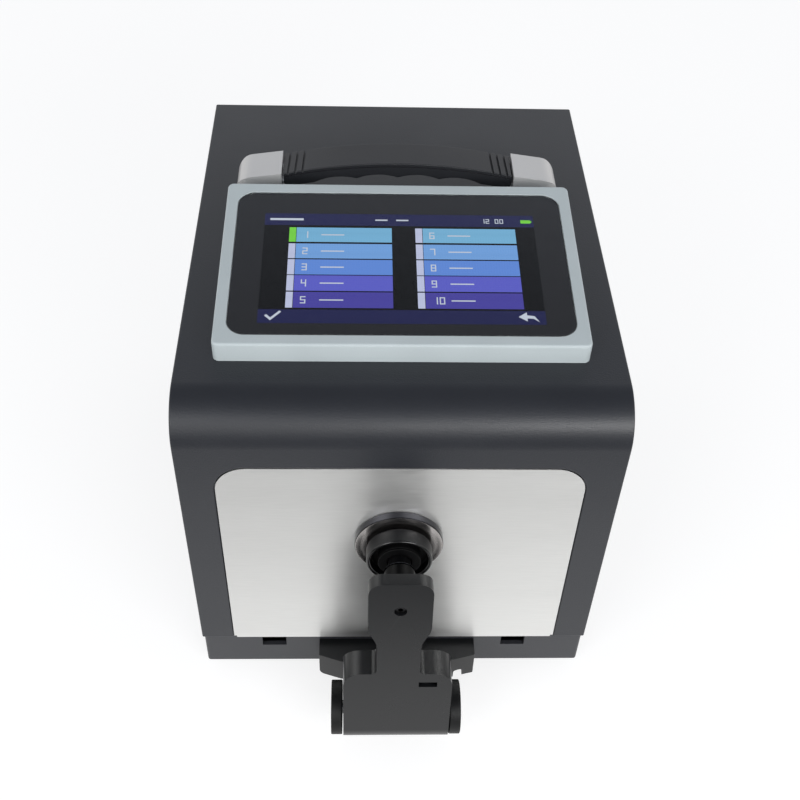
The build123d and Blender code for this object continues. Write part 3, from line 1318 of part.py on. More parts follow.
def main_board():
    low = board_level()
    x = (-MAIN_BOARD_W / 2, MAIN_BOARD_W / 2)
    board = block(x, (MAIN_BOARD_FROM, MAIN_BOARD_FROM + MAIN_BOARD_D), (low, low + BOARD_T))
    middle = MAIN_BOARD_FROM + MAIN_BOARD_D / 2
    top = low + BOARD_T
    chip_y = (middle - CHIP / 2, middle + CHIP / 2)
    for spot_x in (-MAIN_BOARD_W / 6, MAIN_BOARD_W / 6):
        board += block((spot_x - CHIP / 2, spot_x + CHIP / 2), chip_y, (top, top + CHIP_T))
    header_y = ribbon_line()
    board += block((RIBBON_X - HEADER_W / 2, RIBBON_X + HEADER_W / 2), (header_y, header_y + HEADER_D),
                   (top, top + HEADER_H))
    for spot_x, y in board_places():
        board -= screw_hole((spot_x, y, low), (0, 0, 1), BOARD_T)
    return board


def board_standoffs():
    low, top = Z_FLOOR, board_level()
    return [tube(STANDOFF_R, SCREW_R + SNUG, (x, y, low), (x, y, top)) for x, y in board_places()]


def chassis_screws():
    """Screws of the bulkhead, the optics plate and the main board, all driven from above."""
    heads = [(x, y, Z_STRIP + BULKHEAD_T, BULKHEAD_T) for x, y in bulkhead_places()]
    heads += [(x, y, Z_PLATE + PLATE_T, PLATE_T) for x, y in plate_places()]
    heads += [(x, y, board_level() + BOARD_T, BOARD_T) for x, y in board_places()]
    return [pan_screw((x, y, z), (0, 0, -1), thickness + STANDOFF_H - 1) for x, y, z, thickness in heads]


def battery_spans():
    return (-BATTERY_W / 2, BATTERY_W / 2), (BATTERY_FROM, BATTERY_FROM + BATTERY_D)


def battery_pack():
    x, y = battery_spans()
    return rounded_block(x, y, (Z_FLOOR, Z_FLOOR + BATTERY_H), BATTERY_R, Axis.Z)


def battery_rails():
    """Low wall of the base round the battery."""
    x, y = battery_spans()
    grow = ASSEMBLY_GAP + RAIL_T
    outer = block(shrink(x, -grow), shrink(y, -grow), (Z_FLOOR, Z_FLOOR + RAIL_H))
    return outer - block(shrink(x, -ASSEMBLY_GAP), shrink(y, -ASSEMBLY_GAP), (Z_FLOOR, Z_FLOOR + RAIL_H))


def ribbon_line():
    """Front of the flat cable where it drops from the screen to the main board."""
    return MAIN_BOARD_FROM + HEADER_D


def ribbon_cable():
    x = (RIBBON_X - RIBBON_W / 2, RIBBON_X + RIBBON_W / 2)
    start = display_board_from() + DISPLAY_BOARD_LEN / 2
    spot = SLOPE.from_local_coords((0, start, -GLASS_T - LCD_T - BOARD_T))
    y = ribbon_line()
    low = board_level() + BOARD_T + HEADER_H
    level = Z_ROOF - WALL
    run = block(x, (spot.Y, y), (level, level + RIBBON_T))
    rise = block(x, (spot.Y, spot.Y + RIBBON_T), (level, spot.Z))
    return run + rise + block(x, (y, y + RIBBON_T), (low, level + RIBBON_T))


# ---------------------------------------------------------------- switch and sockets
def centred_block(x, size, y):
    """Block through the rear panel about a socket's middle."""
    return block((x - size[0] / 2, x + size[0] / 2), y, (Z_SOCKETS - size[1] / 2, Z_SOCKETS + size[1] / 2))


def rocker_room():
    """Opening in the housing for the rocker's swing."""
    reach = ROCKER_PROUD + ROCKER_DEEP
    swing = ROCKER_H / 2 * cos(radians(ROCKER_ANGLE)) + reach * sin(radians(ROCKER_ANGLE))
    return ROCKER_W + 2 * ROCKER_ROOM, 2 * swing + 2 * ROCKER_ROOM


def housing_size():
    width, height = rocker_room()
    return width + 2 * HOUSING_WALL, height + 2 * HOUSING_WALL


def rocker_pivot():
    return BODY_D - ROCKER_DEEP


def rocker_housing():
    width, height = housing_size()
    inner = rocker_room()
    body = centred_block(ROCKER_X, (width, height), (BODY_D - HOUSING_L, BODY_D))
    flange = (width + 2 * HOUSING_FLANGE, height + 2 * HOUSING_FLANGE)
    body += centred_block(ROCKER_X, flange, (BODY_D, BODY_D + HOUSING_FLANGE_T))
    body -= centred_block(ROCKER_X, inner, (BODY_D - HOUSING_L + HOUSING_WALL, BODY_D + HOUSING_FLANGE_T))
    pin_x = inner[0] / 2 + HOUSING_WALL / 2
    return body - rod(ROCKER_PIN_R + RUNNING, (ROCKER_X - pin_x, rocker_pivot(), Z_SOCKETS),
                      (ROCKER_X + pin_x, rocker_pivot(), Z_SOCKETS))


def power_rocker():
    """Rocker with its upper half pressed in."""
    pivot = rocker_pivot()
    half = ROCKER_H / 2
    top = ROCKER_DEEP + ROCKER_PROUD
    rim = top - half * tan(radians(ROCKER_ANGLE)) / 2
    low = -ROCKER_DEEP / 3
    hollow = top - half * tan(radians(ROCKER_ANGLE))
    foot = half * ROCKER_FOOT
    outline = [(low, -foot), (rim, -half), (hollow, 0), (rim, half), (low, foot)]
    x = (ROCKER_X - ROCKER_W / 2, ROCKER_X + ROCKER_W / 2)
    side = make_face(Polyline(*[(x[0], y, z) for y, z in outline], close=True))
    body = extrude(side, ROCKER_W, dir=(1, 0, 0))
    reach = ROCKER_W / 2 + ROCKER_ROOM + HOUSING_WALL / 3
    body += rod(ROCKER_PIN_R, (ROCKER_X - reach, 0, 0), (ROCKER_X + reach, 0, 0))
    return Pos(0, pivot, Z_SOCKETS) * Rot(ROCKER_ANGLE, 0, 0) * body


def power_inlet():
    body = rod(INLET_R, *along_y(INLET_X, Z_SOCKETS, BODY_D - INLET_L, BODY_D + INLET_PROUD))
    nut = Plane(origin=(INLET_X, BODY_D, Z_SOCKETS), z_dir=(0, 1, 0)) * RegularPolygon(INLET_NUT_R, 6)
    body += extrude(nut, INLET_NUT_T)
    bottom = BODY_D - INLET_L + 2 * INLET_PIN_R
    body -= rod(INLET_BORE_R, *along_y(INLET_X, Z_SOCKETS, bottom, BODY_D + INLET_PROUD))
    return body + rod(INLET_PIN_R, *along_y(INLET_X, Z_SOCKETS, BODY_D - INLET_L, BODY_D + INLET_PROUD / 2))


def usb_socket():
    out = BODY_D + USB_FLANGE / 2
    body = centred_block(USB_X, (USB_W, USB_H), (BODY_D - USB_L, out))
    inner = (USB_W - 2 * USB_WALL, USB_H - 2 * USB_WALL)
    body -= centred_block(USB_X, inner, (BODY_D - USB_L + USB_WALL, out))
    body += centred_block(USB_X, (USB_TONGUE_W, USB_TONGUE_H), (BODY_D - USB_L, BODY_D - USB_WALL))
    y = (Y_REAR - USB_FLANGE, Y_REAR)
    flange = centred_block(USB_X, (USB_W + 2 * USB_FLANGE, USB_H + 2 * USB_FLANGE), y)
    return body + (flange - centred_block(USB_X, (USB_W, USB_H), y))


# ---------------------------------------------------------------- everything
def main():
    os.makedirs("parts", exist_ok=True)
    save("base_tray", base_tray())
    save("rubber_feet", *feet())
    save("foot_screws", *foot_screws())
    save("top_cover", top_cover())
    save("front_panel", front_panel())
    save("front_bulkhead", front_bulkhead())
    save("rear_panel", rear_panel())
    save("rear_screws", *rear_screws())

    save("screen_bezel", screen_bezel())
    save("screen_gasket", screen_gasket())
    save("touch_glass", touch_glass())
    save("lcd_module", lcd_module())
    save("display_board", display_board())
    save("bezel_screws", *bezel_screws())

    right_cap, left_cap = both_sides(handle_cap())
    save("handle_cap_right", right_cap)
    save("handle_cap_left", left_cap)
    save("handle_grip", handle_grip())
    save("handle_strap", handle_strap())
    save("handle_stiffeners", *handle_stiffeners())
    save("handle_screws", *handle_screws())

    save("port_seat", port_seat())
    save("aperture_plate", aperture_plate())
    save("clamp_bracket", clamp_bracket())
    save("bracket_screws", *bracket_screws())
    save("hinge_shaft", hinge_shaft())
    save("hinge_end_caps", *hinge_end_caps())
    save("hinge_bushes", *hinge_bushes())
    save("clamp_springs", *clamp_springs())
    save("arm_body", arm_body())
    save("ball_screw", ball_screw())
    save("swivel_ball", swivel_ball())
    save("pad_stem", pad_stem())
    save("pad_cup", pad_cup())
    save("pad_retainer", pad_retainer())
    save("pad_face", pad_face())

    save("optics_plate", optics_plate())
    save("sphere_front_half", sphere_front_half())
    save("sphere_rear_half", sphere_rear_half())
    save("sphere_screws", *sphere_screws())
    save("sphere_stand", sphere_stand())
    save("lamp_housing", lamp_housing())
    save("led_module", led_module())
    save("lens_tube", lens_tube())
    save("view_lens", view_lens())
    save("trap_flap", trap_flap())
    save("trap_motor", trap_motor())
    save("trap_motor_post", trap_motor_post())
    save("spectrometer_box", spectrometer_box())
    save("spectrometer_lid", spectrometer_lid())
    save("diffraction_grating", diffraction_grating())
    save("sensor_board", sensor_board())

    save("main_board", main_board())
    save("board_standoffs", *board_standoffs())
    save("chassis_screws", *chassis_screws())
    save("battery_pack", battery_pack())
    save("ribbon_cable", ribbon_cable())
    save("rocker_housing", rocker_housing())
    save("power_rocker", power_rocker())
    save("power_inlet", power_inlet())
    save("usb_socket", usb_socket())


main()
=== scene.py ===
# %% [markdown]
# # Benchtop colorimeter
# The instrument is a folded steel case with a touch screen, a carrying handle and a sprung clamp
# on its front. This lesson loads the working model, which fixes every size, and then builds the
# pieces that the eye meets with finer shapes and real finishes.

# %% Open the working model
import json
from math import acos, atan2, cos, pi, radians, sin, sqrt, tan

import bpy
from mathutils import Matrix, Vector

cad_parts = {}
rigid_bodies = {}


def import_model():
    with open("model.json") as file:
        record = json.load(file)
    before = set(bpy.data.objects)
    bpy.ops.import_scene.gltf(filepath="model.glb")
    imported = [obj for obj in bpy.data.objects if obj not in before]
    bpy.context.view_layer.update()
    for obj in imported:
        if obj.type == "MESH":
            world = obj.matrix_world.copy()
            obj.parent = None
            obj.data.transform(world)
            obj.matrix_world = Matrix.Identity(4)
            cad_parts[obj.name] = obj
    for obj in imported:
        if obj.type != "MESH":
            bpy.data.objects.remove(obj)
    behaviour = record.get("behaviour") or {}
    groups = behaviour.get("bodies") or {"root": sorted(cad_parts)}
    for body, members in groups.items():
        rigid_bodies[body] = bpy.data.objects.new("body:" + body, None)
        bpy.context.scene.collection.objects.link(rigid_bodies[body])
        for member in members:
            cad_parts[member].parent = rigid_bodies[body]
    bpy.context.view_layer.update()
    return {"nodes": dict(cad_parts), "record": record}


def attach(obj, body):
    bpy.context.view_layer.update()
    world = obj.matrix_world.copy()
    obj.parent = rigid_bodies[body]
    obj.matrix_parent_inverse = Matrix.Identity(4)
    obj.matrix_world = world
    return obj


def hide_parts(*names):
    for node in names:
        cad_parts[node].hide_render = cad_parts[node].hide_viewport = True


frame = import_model()
nodes = frame["nodes"]

# %% [markdown]
# ## Sizes
# The drawings of the instrument are in millimetres. They count Y from the front face of the case
# and Z from the table, so one function turns such a place into metres in Blender's scene.

# %% Sizes of the instrument
MM = 0.001
Y_MIDDLE = 116.35       # front face of the case to the middle of the instrument
Z_STRIP = 35.0          # where the cover stands on the base
Z_TOP = 236.0           # top of the cover
Z_PORT = 136.0          # measuring port
HINGE_Y, Z_HINGE = -44.7, 28.0      # hinge of the clamp
WALL = 2.5              # cover sheet with its paint


def spot(x, y, z):
    """A place in metres from one in millimetres."""
    return Vector((x, y - Y_MIDDLE, z)) * MM


def back_to_mm(place):
    """A place in mm, as x, y and z, from one in metres."""
    return place.x / MM, place.y / MM + Y_MIDDLE, place.z / MM


print("front face of the case, in metres:", round(spot(0, 0, 0).y, 4))


# %% [markdown]
# ## Colours and nodes
# Colours are written as the hex numbers that a screen shows. Blender's shaders work with linear
# light, so one function converts them. Another adds a shader node, sets it and links it.

# %% Colour and node helpers
def linear(hex_colour):
    """Linear colour from an sRGB hex value."""
    parts = [int(hex_colour[place:place + 2], 16) / 255 for place in (1, 3, 5)]
    light = [part / 12.92 if part <= 0.04045 else ((part + 0.055) / 1.055) ** 2.4 for part in parts]
    return (*light, 1)


def add(tree, kind, inputs=None, **settings):
    """Adds one node. Each input gets a value, or a link from another node's socket."""
    made = tree.nodes.new(kind)
    for key, value in settings.items():
        setattr(made, key, value)
    for key, value in (inputs or {}).items():
        if isinstance(value, bpy.types.NodeSocket):
            tree.links.new(value, made.inputs[key])
        else:
            made.inputs[key].default_value = value
    return made


print("half-bright grey in linear light:", round(linear("#808080")[0], 3))


# %% [markdown]
# ## Finishes
# Nearly all surfaces here are one base colour with a fine grain: powder coat, moulded plastic,
# plated steel and rubber differ in the size of the grain, its height and the gloss. The grain is
# drawn twice: as bump, and as a slight change of colour and roughness. A slower noise over it
# stands for handling and uneven paint. Pictures of real surfaces could do the same, but noise needs
# no files, shows no seams and is set by sizes in millimetres.

# %% Grained finishes
def shader(name, colour, **inputs):
    """A new material with one Principled shader, and the coordinates of the piece."""
    material = bpy.data.materials.new(name)
    material.use_nodes = True
    tree = material.node_tree
    tree.nodes.clear()
    surface = add(tree, "ShaderNodeBsdfPrincipled", {"Base Color": linear(colour), **inputs})
    add(tree, "ShaderNodeOutputMaterial", {"Surface": surface.outputs[0]})
    place = add(tree, "ShaderNodeTexCoord").outputs["Object"]
    return material, tree, surface, place


PATCH = 40              # mm across a lighter or darker patch
FEW, MANY = 0.7, 1.3    # two noises added up stay mostly between these


def grained(name, colour, roughness, grain, height, stretch=(1, 1, 1), spread=0.05, **inputs):
    """A surface with a grain of so many millimetres, so high, and darker and lighter patches."""
    material, tree, surface, place = shader(name, colour, Roughness=roughness, **inputs)
    if stretch != (1, 1, 1):
        place = add(tree, "ShaderNodeMapping", {"Vector": place, "Scale": stretch}).outputs[0]
    noise = "ShaderNodeTexNoise"
    fine = add(tree, noise, {"Vector": place, "Scale": 1 / (grain * MM), "Detail": 3}).outputs[0]
    broad = add(tree, noise, {"Vector": place, "Scale": 1 / (PATCH * MM), "Detail": 2}).outputs[0]
    both = add(tree, "ShaderNodeMath", {0: fine, 1: broad}, operation="ADD").outputs[0]
    red, green, blue, _ = linear(colour)
    dark = [part * (1 - spread) for part in (red, green, blue)] + [1]
    light = [min(1, part * (1 + spread)) for part in (red, green, blue)] + [1]
    reach = {"Value": both, "From Min": FEW, "From Max": MANY}
    tint = add(tree, "ShaderNodeMapRange", reach).outputs[0]
    shade = add(tree, "ShaderNodeMix", {"Factor": tint, 6: dark, 7: light}, data_type="RGBA").outputs[2]
    dull = {"To Min": roughness * 0.9, "To Max": roughness * 1.1}
    gloss = add(tree, "ShaderNodeMapRange", {**reach, **dull}).outputs[0]
    bump = add(tree, "ShaderNodeBump", {"Height": fine, "Strength": 1, "Distance": height * MM}).outputs[0]
    tree.links.new(shade, surface.inputs["Base Color"])
    tree.links.new(gloss, surface.inputs["Roughness"])
    tree.links.new(bump, surface.inputs["Normal"])
    return material


# %% [markdown]
# ## Turned and brushed metal
# A turned face carries fine rings round its axis, and a brushed one carries straight lines. A wave
# texture draws the rings of the port plate. They are about a tenth of a millimetre apart on a real
# one, too fine to show, so they are drawn some 4 and 5 mm apart. The lines are the grain above,
# stretched along one direction. On the front panel they also smear what it mirrors, across the
# lines: Blender calls that anisotropy, and a Tangent node says which way round the surface it runs.

# %% Turned metal
WAVE_RADIANS = 20       # how far Blender's wave texture turns in one unit: about three rings


def turned(name, colour, roughness, radian, height):
    """Metal with rings round the port's axis: 2 pi radians to a ring, and a radian is so many mm."""
    material, tree, surface, place = shader(name, colour, Metallic=1, Roughness=roughness)
    centre = spot(0, 0, Z_PORT)
    place = add(tree, "ShaderNodeMapping", {"Vector": place, "Location": -centre}).outputs[0]
    wave = {"Vector": place, "Scale": 1 / (radian * MM) / WAVE_RADIANS, "Distortion": 0.3, "Detail": 2}
    rings = add(tree, "ShaderNodeTexWave", wave, wave_type="RINGS", rings_direction="Y").outputs[1]
    bump = add(tree, "ShaderNodeBump", {"Height": rings, "Strength": 1, "Distance": height * MM})
    dull = {"To Min": roughness * 0.8, "To Max": roughness * 1.25}
    gloss = add(tree, "ShaderNodeMapRange", {"Value": rings, **dull})
    tree.links.new(bump.outputs[0], surface.inputs["Normal"])
    tree.links.new(gloss.outputs[0], surface.inputs["Roughness"])
    print(name, "has a ring every", round(2 * pi * radian, 1), "mm")
    return material


# %% Brushed sheet
def brushed(name, colour, roughness, smear):
    """Metal with fine lines along X, which smear what it mirrors up and down."""
    smeared = {"Metallic": 1, "Anisotropic": smear, "Anisotropic Rotation": 0.25}
    material = grained(name, colour, roughness, 0.7, 0.006, stretch=(0.05, 1, 1), spread=0.03, **smeared)
    tree = material.node_tree
    around = add(tree, "ShaderNodeTangent", direction_type="RADIAL", axis="Z").outputs[0]
    surface = next(node for node in tree.nodes if node.type == "BSDF_PRINCIPLED")
    tree.links.new(around, surface.inputs["Tangent"])
    return material


# %% [markdown]
# ## The instrument's finishes
# Each slot of the record gets the finish of the real material. Grain sizes are in millimetres.
# The orange peel of powder coat is about half a millimetre wide and the lines of brushed metal are
# a tenth: both are drawn coarser, so that they show at this distance.

# %% One finish for each slot
SHINE = "Specular IOR Level"        # how strongly a surface that is no metal mirrors
powder = {"grain": 0.9, "height": 0.09, "spread": 0.03}
moulded = {"grain": 0.5, "height": 0.015}
steel = {"Metallic": 1, "grain": 0.3, "height": 0.004, "spread": 0.08}
finishes = {
    # powder-coated sheet steel: dark grey, satin, with a fine orange-peel grain
    "cover_paint": grained("powder_coated_steel", "#25272c", 0.38, **powder),
    "rear_paint": grained("powder_coated_rear_panel", "#2d2e32", 0.45, **powder),
    "base_paint": grained("powder_coated_base", "#323337", 0.42, **powder),
    # brushed aluminium: bright, with soft upright streaks in what it mirrors
    "panel_aluminium": brushed("brushed_aluminium", "#e9e9e7", 0.44, 0.7),
    # zinc-plated sheet: a pale metal, streaky from the rolling mill
    "folded_steel": grained("zinc_plated_sheet", "#a9adb0", 0.35, stretch=(1, 1, 8), **steel),
    # moulded ABS: pale grey-green with a fine matt skin
    "bezel_plastic": grained("moulded_abs", "#b4bdbf", 0.5, **moulded),
    # foam swallows light; solder mask is glossy and uneven over the copper
    "foam_gasket": grained("closed_cell_foam", "#1c1c1d", 0.95, 0.8, 0.1),
    "lcd_plastic": grained("display_module_case", "#101114", 0.3, **moulded),
    "board_green": grained("solder_mask", "#1c5a38", 0.35, 1.5, 0.02, spread=0.12),
    # screws: bright where plated, nearly black where blackened
    "screw_steel": grained("zinc_plated_steel", "#b4b6b8", 0.3, **steel),
    "dark_screw_steel": grained("blackened_steel", "#2a2a2c", 0.38, **steel),
    # die-cast zinc with satin silver paint: pale, with small metal flakes
    "cap_paint": grained("silver_painted_zinc", "#c4c3c2", 0.32, 0.6, 0.012, Metallic=0.35, spread=0.03),
    # soft PVC over the steel strap: dark, with a leathery sheen
    "grip_vinyl": grained("soft_pvc", "#1d1e22", 0.42, 0.6, 0.03),
    "strap_steel": grained("spring_steel_strip", "#c9c9ca", 0.22, stretch=(0.1, 1, 1), **steel),
    # black anodising: dark, with the metal's sheen below
    "seat_aluminium": grained("black_anodised_aluminium", "#1f2023", 0.35, 0.4, 0.006, Metallic=0.6),
    # stainless steel, turned: a polished face, and bevels and rim with painted shade in their darker colours
    "port_steel": turned("polished_stainless_steel", "#c9c5c3", 0.2, 0.6, 0.0004),
    "port_bevel_painted_shade": turned("polished_bevel_painted_shade", "#232325", 0.15, 0.8, 0.0005),
    "port_rim_painted_shade": turned("turned_rim_painted_shade", "#47474b", 0.26, 0.8, 0.006),
    # polished black parts round the ball, with a paler line on the sleeve's shoulder that is a painted
    # highlight
    "gloss_black": grained("polished_black_sleeve", "#040405", 0.14, 2.0, 0.004, **{SHINE: 0.08}),
    "lip_black": grained("polished_acetal_lip", "#0a0a0b", 0.18, 2.0, 0.004),
    "painted_highlight_edge": grained("black_edge_painted_highlight", "#4a4b4f", 0.3, 2.0, 0.004, Metallic=0.4),
    # painted castings: black and satin
    "bracket_paint": grained("black_painted_casting", "#0d0e10", 0.42, 0.8, 0.03),
    "cap_black": grained("black_painted_cap", "#08090a", 0.5, 0.8, 0.03, **{SHINE: 0.3}),
    "arm_paint": grained("painted_die_casting", "#121315", 0.3, 0.8, 0.012, spread=0.04, **{SHINE: 0.45}),
    # metals of the hinge and the ball, worn bright or oiled
    "hinge_steel": grained("ground_steel", "#9a9b9d", 0.25, **steel),
    "bush_bronze": grained("oiled_bronze", "#8f7342", 0.3, 0.4, 0.004, Metallic=1),
    "spring_steel": grained("oil_tempered_wire", "#6d6e72", 0.3, **steel),
    "ball_steel": grained("polished_black_oxide", "#2a2a2c", 0.12, 0.5, 0.002, Metallic=0.9),
    "stem_aluminium": grained("black_anodised_stem", "#161618", 0.3, 0.4, 0.005, Metallic=0.5),
    # moulded blacks of the pad: acetal is waxy, nylon dull, rubber duller
    "cup_plastic": grained("moulded_black_acetal", "#0e0f11", 0.4, **moulded, **{SHINE: 0.3}),
    # nylon: a dull black, which also lines the cup's hollow as painted shade
    "retainer_plastic": grained("black_nylon_and_painted_shade", "#070708", 0.5, 2.0, 0.01, **{SHINE: 0.2}),
    "pad_rubber": grained("pad_rubber", "#151516", 0.8, 0.5, 0.03),
    # optics: milled metal, a chalky white sphere, matt blacks that stop stray light
    "optics_aluminium": grained("milled_aluminium", "#c3c4c6", 0.35, stretch=(0.15, 1, 1), **steel),
    "sphere_white": grained("barium_white_coating", "#efeeea", 0.95, 0.5, 0.03, spread=0.02),
    "baffle_black": grained("matt_black_anodising", "#121213", 0.6, 0.5, 0.01),
    "led_yellow": grained("phosphor_silicone", "#d8b93a", 0.5, 0.8, 0.02),
    "motor_steel": grained("nickel_plated_can", "#9c9da0", 0.28, **steel),
    "spectrometer_paint": grained("matt_black_paint", "#17171a", 0.6, **powder),
    "grating_mirror": grained("ruled_mirror", "#d6dae0", 0.08, 0.3, 0.002, stretch=(1, 1, 0.02), Metallic=1),
    # electronics: plain brass, tight glossy shrink wrap, a cable ribbed at its wires
    "standoff_brass": grained("plain_brass", "#b89a4e", 0.25, 0.4, 0.004, Metallic=1),
    "battery_wrap": grained("pvc_shrink_wrap", "#22406f", 0.3, 6.0, 0.05),
    "ribbon_plastic": grained("flat_cable_pvc", "#9b9ca0", 0.5, 1.27, 0.1, stretch=(1, 0.02, 0.02)),
    # the back and the feet: glossy switch, dull sockets, duller rubber
    "switch_black": grained("gloss_black_abs", "#111113", 0.2, 3.0, 0.01),
    "socket_black": grained("glass_filled_nylon", "#161618", 0.5, **moulded),
    "usb_plastic": grained("white_socket_plastic", "#d6d5d0", 0.45, **moulded),
    "foot_rubber": grained("moulded_rubber", "#161617", 0.85, 0.6, 0.05),
}
print("finishes:", len(finishes))

# %% [markdown]
# ## Glass and display finishes
# Clear glass lets light through and mirrors a little of the room; finger haze makes it a little rougher in
# patches. The display gives off its own light, so its colours hardly change with the lamps. Its pixels are
# 0.2 mm apart, too fine to show, so the dots are drawn 1.5 mm apart and faint. The ink on the back of the
# glass is matt and carries the same fine dots of its screen print. Its dark grey is painted light, given off
# at a fixed strength like the display's.

# %% Glass and display finishes
HAZE, DOT = 25, 1.5     # mm across a hazy patch, and from dot to dot
GLASS_IOR = 1.33        # below the 1.5 of plain glass, because the screen mirrors little


def clear(name, tint):
    """Clear glass with a patchy haze."""
    material, tree, surface, place = shader(name, tint, **{"IOR": GLASS_IOR, "Transmission Weight": 1.0})
    cloud = {"Vector": place, "Scale": 1 / (HAZE * MM), "Detail": 3}
    haze = add(tree, "ShaderNodeTexNoise", cloud).outputs[0]
    limits = {"From Min": 0.45, "From Max": 0.7, "To Min": 0.015, "To Max": 0.05}
    rough = add(tree, "ShaderNodeMapRange", {"Value": haze, **limits}).outputs[0]
    tree.links.new(rough, surface.inputs["Roughness"])
    return material


def lit(name, colour, strength):
    """A colour that gives off light, in faint square dots."""
    material, tree, surface, place = shader(name, "#000000", **{SHINE: 0.0, "Emission Strength": strength})
    grid = {"Vector": place, "Scale": 1 / (DOT * MM), "Randomness": 0}
    cells = add(tree, "ShaderNodeTexVoronoi", grid, distance="CHEBYCHEV").outputs["Distance"]
    edge = add(tree, "ShaderNodeMapRange", {"Value": cells, "From Min": 0.3, "From Max": 0.5}).outputs[0]
    red, green, blue, _ = linear(colour)
    dim = [part * 0.94 for part in (red, green, blue)] + [1]
    mix = {"Factor": edge, 6: linear(colour), 7: dim}
    tint = add(tree, "ShaderNodeMix", mix, data_type="RGBA").outputs[2]
    tree.links.new(tint, surface.inputs["Emission Color"])
    return material


finishes["touch_glass"] = clear("touch_glass", "#f4f7f7")
finishes["lens_glass"] = clear("lens_glass", "#f6f8f8")
screen_finishes = {
    # the printed ink is no lamp: its dark grey is painted light, given off at a fixed strength
    "ink_painted_light": lit("glass_ink_painted_light", "#232326", 1.0),
    "dark": lit("display_dark", "#0a0a0e", 0.3),
    "bar": lit("display_bar", "#20224f", 0.95),
    "tab": lit("display_tab", "#c8cdeb", 0.95),
    "green": lit("display_green", "#7ddc46", 0.95),
    "text": lit("display_text", "#dfe6f5", 0.8),
}
ROW_COLOURS = ("#7cb9e0", "#78a9e8", "#6590e2", "#6163cf", "#4c45a5")
for number, colour in enumerate(ROW_COLOURS, 1):
    screen_finishes[f"row_{number}"] = lit(f"display_row_{number}", colour, 0.95)
print("finishes of the glass and the display:", 2 + len(screen_finishes))

# %% [markdown]
# ## The working model's own pieces
# Pieces whose shape is already right keep their shape and only get their finish. They are the
# ones inside the case, the screws, the sockets and the hinge.

# %% Finish every piece of the working model
for part in frame["record"]["subparts"]:
    for holder in nodes[part["node"]].material_slots:
        holder.material = finishes[part["material_slot"]]
# of all screws of its kind, only the clamp's ball screw has a black head
nodes["ball_screw"].material_slots[0].material = finishes["dark_screw_steel"]

# %% [markdown]
# ## Stage, light and camera
# The instrument stands on a white floor under a soft sky. To the camera the sky is plain white. To
# the object it is white near the floor and dims overhead, as under a dark studio ceiling, so that
# the dark paint of the top stays dark. A square lamp from the upper left gives the forms a light
# and a dark side. A long strip lamp ahead, a little turned, draws the bright line on the front bend.

# %% Camera
EYE = Vector((-23.18, -515.34, 660.25)) * MM
LOOK_RIGHT = Vector((0.9993, -0.0217, 0.0290))      # the picture's right and its top
LOOK_UP = Vector((-0.0047, 0.7180, 0.6961))
LENS = 52.01            # mm, on Blender's 36 mm sensor

bpy.ops.object.camera_add(location=EYE)
camera = bpy.context.object
turn = Matrix((LOOK_RIGHT, LOOK_UP, LOOK_RIGHT.cross(LOOK_UP))).transposed()
camera.rotation_euler = turn.to_euler()
camera.data.lens = LENS
camera.data.clip_start = 0.01
bpy.context.scene.camera = camera
bpy.context.scene.view_settings.view_transform = "Standard"
print("camera looks down by", round(90 - camera.rotation_euler.x * 180 / pi, 1), "degrees")

# %% Sky
OVERHEAD_BLUE = 1.2     # how much bluer the sky is above, where it is dim
world = bpy.data.worlds.new("studio")
bpy.context.scene.world = world
world.use_nodes = True
sky = world.node_tree
sky.nodes.clear()
ray = add(sky, "ShaderNodeLightPath")
toward = add(sky, "ShaderNodeTexCoord").outputs["Generated"]
height = add(sky, "ShaderNodeSeparateXYZ", {0: toward}).outputs["Z"]
ramp = add(sky, "ShaderNodeValToRGB", {0: height})
stops = ((0.0, 1.0), (0.42, 1.0), (0.6, 0.66), (0.75, 0.34), (0.88, 0.14), (1.0, 0.1))
while len(ramp.color_ramp.elements) < len(stops):
    ramp.color_ramp.elements.new(0.5)
for element, (position, grey) in zip(ramp.color_ramp.elements, stops):
    blue = grey * (OVERHEAD_BLUE if position > 0.5 else 1.0)
    element.position, element.color = position, (grey, (2 * grey + blue) / 3, blue, 1)
room = add(sky, "ShaderNodeBackground", {"Color": ramp.outputs[0], "Strength": 1.0})
white = add(sky, "ShaderNodeBackground", {"Color": (1, 1, 1, 1), "Strength": 1.0})
either = {0: ray.outputs["Is Camera Ray"], 1: room.outputs[0], 2: white.outputs[0]}
both = add(sky, "ShaderNodeMixShader", either)
add(sky, "ShaderNodeOutputWorld", {"Surface": both.outputs[0]})
print("sky stops:", len(stops))


# %% Lamps
def lamp(name, place, aim, width, height, watts):
    """A soft box that points at a place, all in metres."""
    bpy.ops.object.light_add(type="AREA", location=place)
    made = bpy.context.object
    made.name = name
    made.data.shape = "RECTANGLE"
    made.data.size, made.data.size_y, made.data.energy = width, height, watts
    made.rotation_euler = (Vector(aim) - Vector(place)).to_track_quat("-Z", "Y").to_euler()
    return made


lamp("key_light", (-0.93, -1.25, 1.0), (0, 0, 0.15), 0.8, 0.8, 9)
strip = lamp("front_strip", (0.66, -1.34, 0.84), (0, -0.11, 0.22), 1.1, 0.32, 11.5)
STRIP_TURN = 9          # degrees: its right end stands higher than its left
strip.rotation_euler.rotate_axis("Z", radians(STRIP_TURN))

# %% [markdown]
# The floor is white paper. To the camera most of its colour is its own light, and the rest takes
# the object's shadow. In reflections it is bright near the case and dark further ahead, as where a
# table ends and a dimmer room begins: the front panel mirrors the paper, and the bend the room.

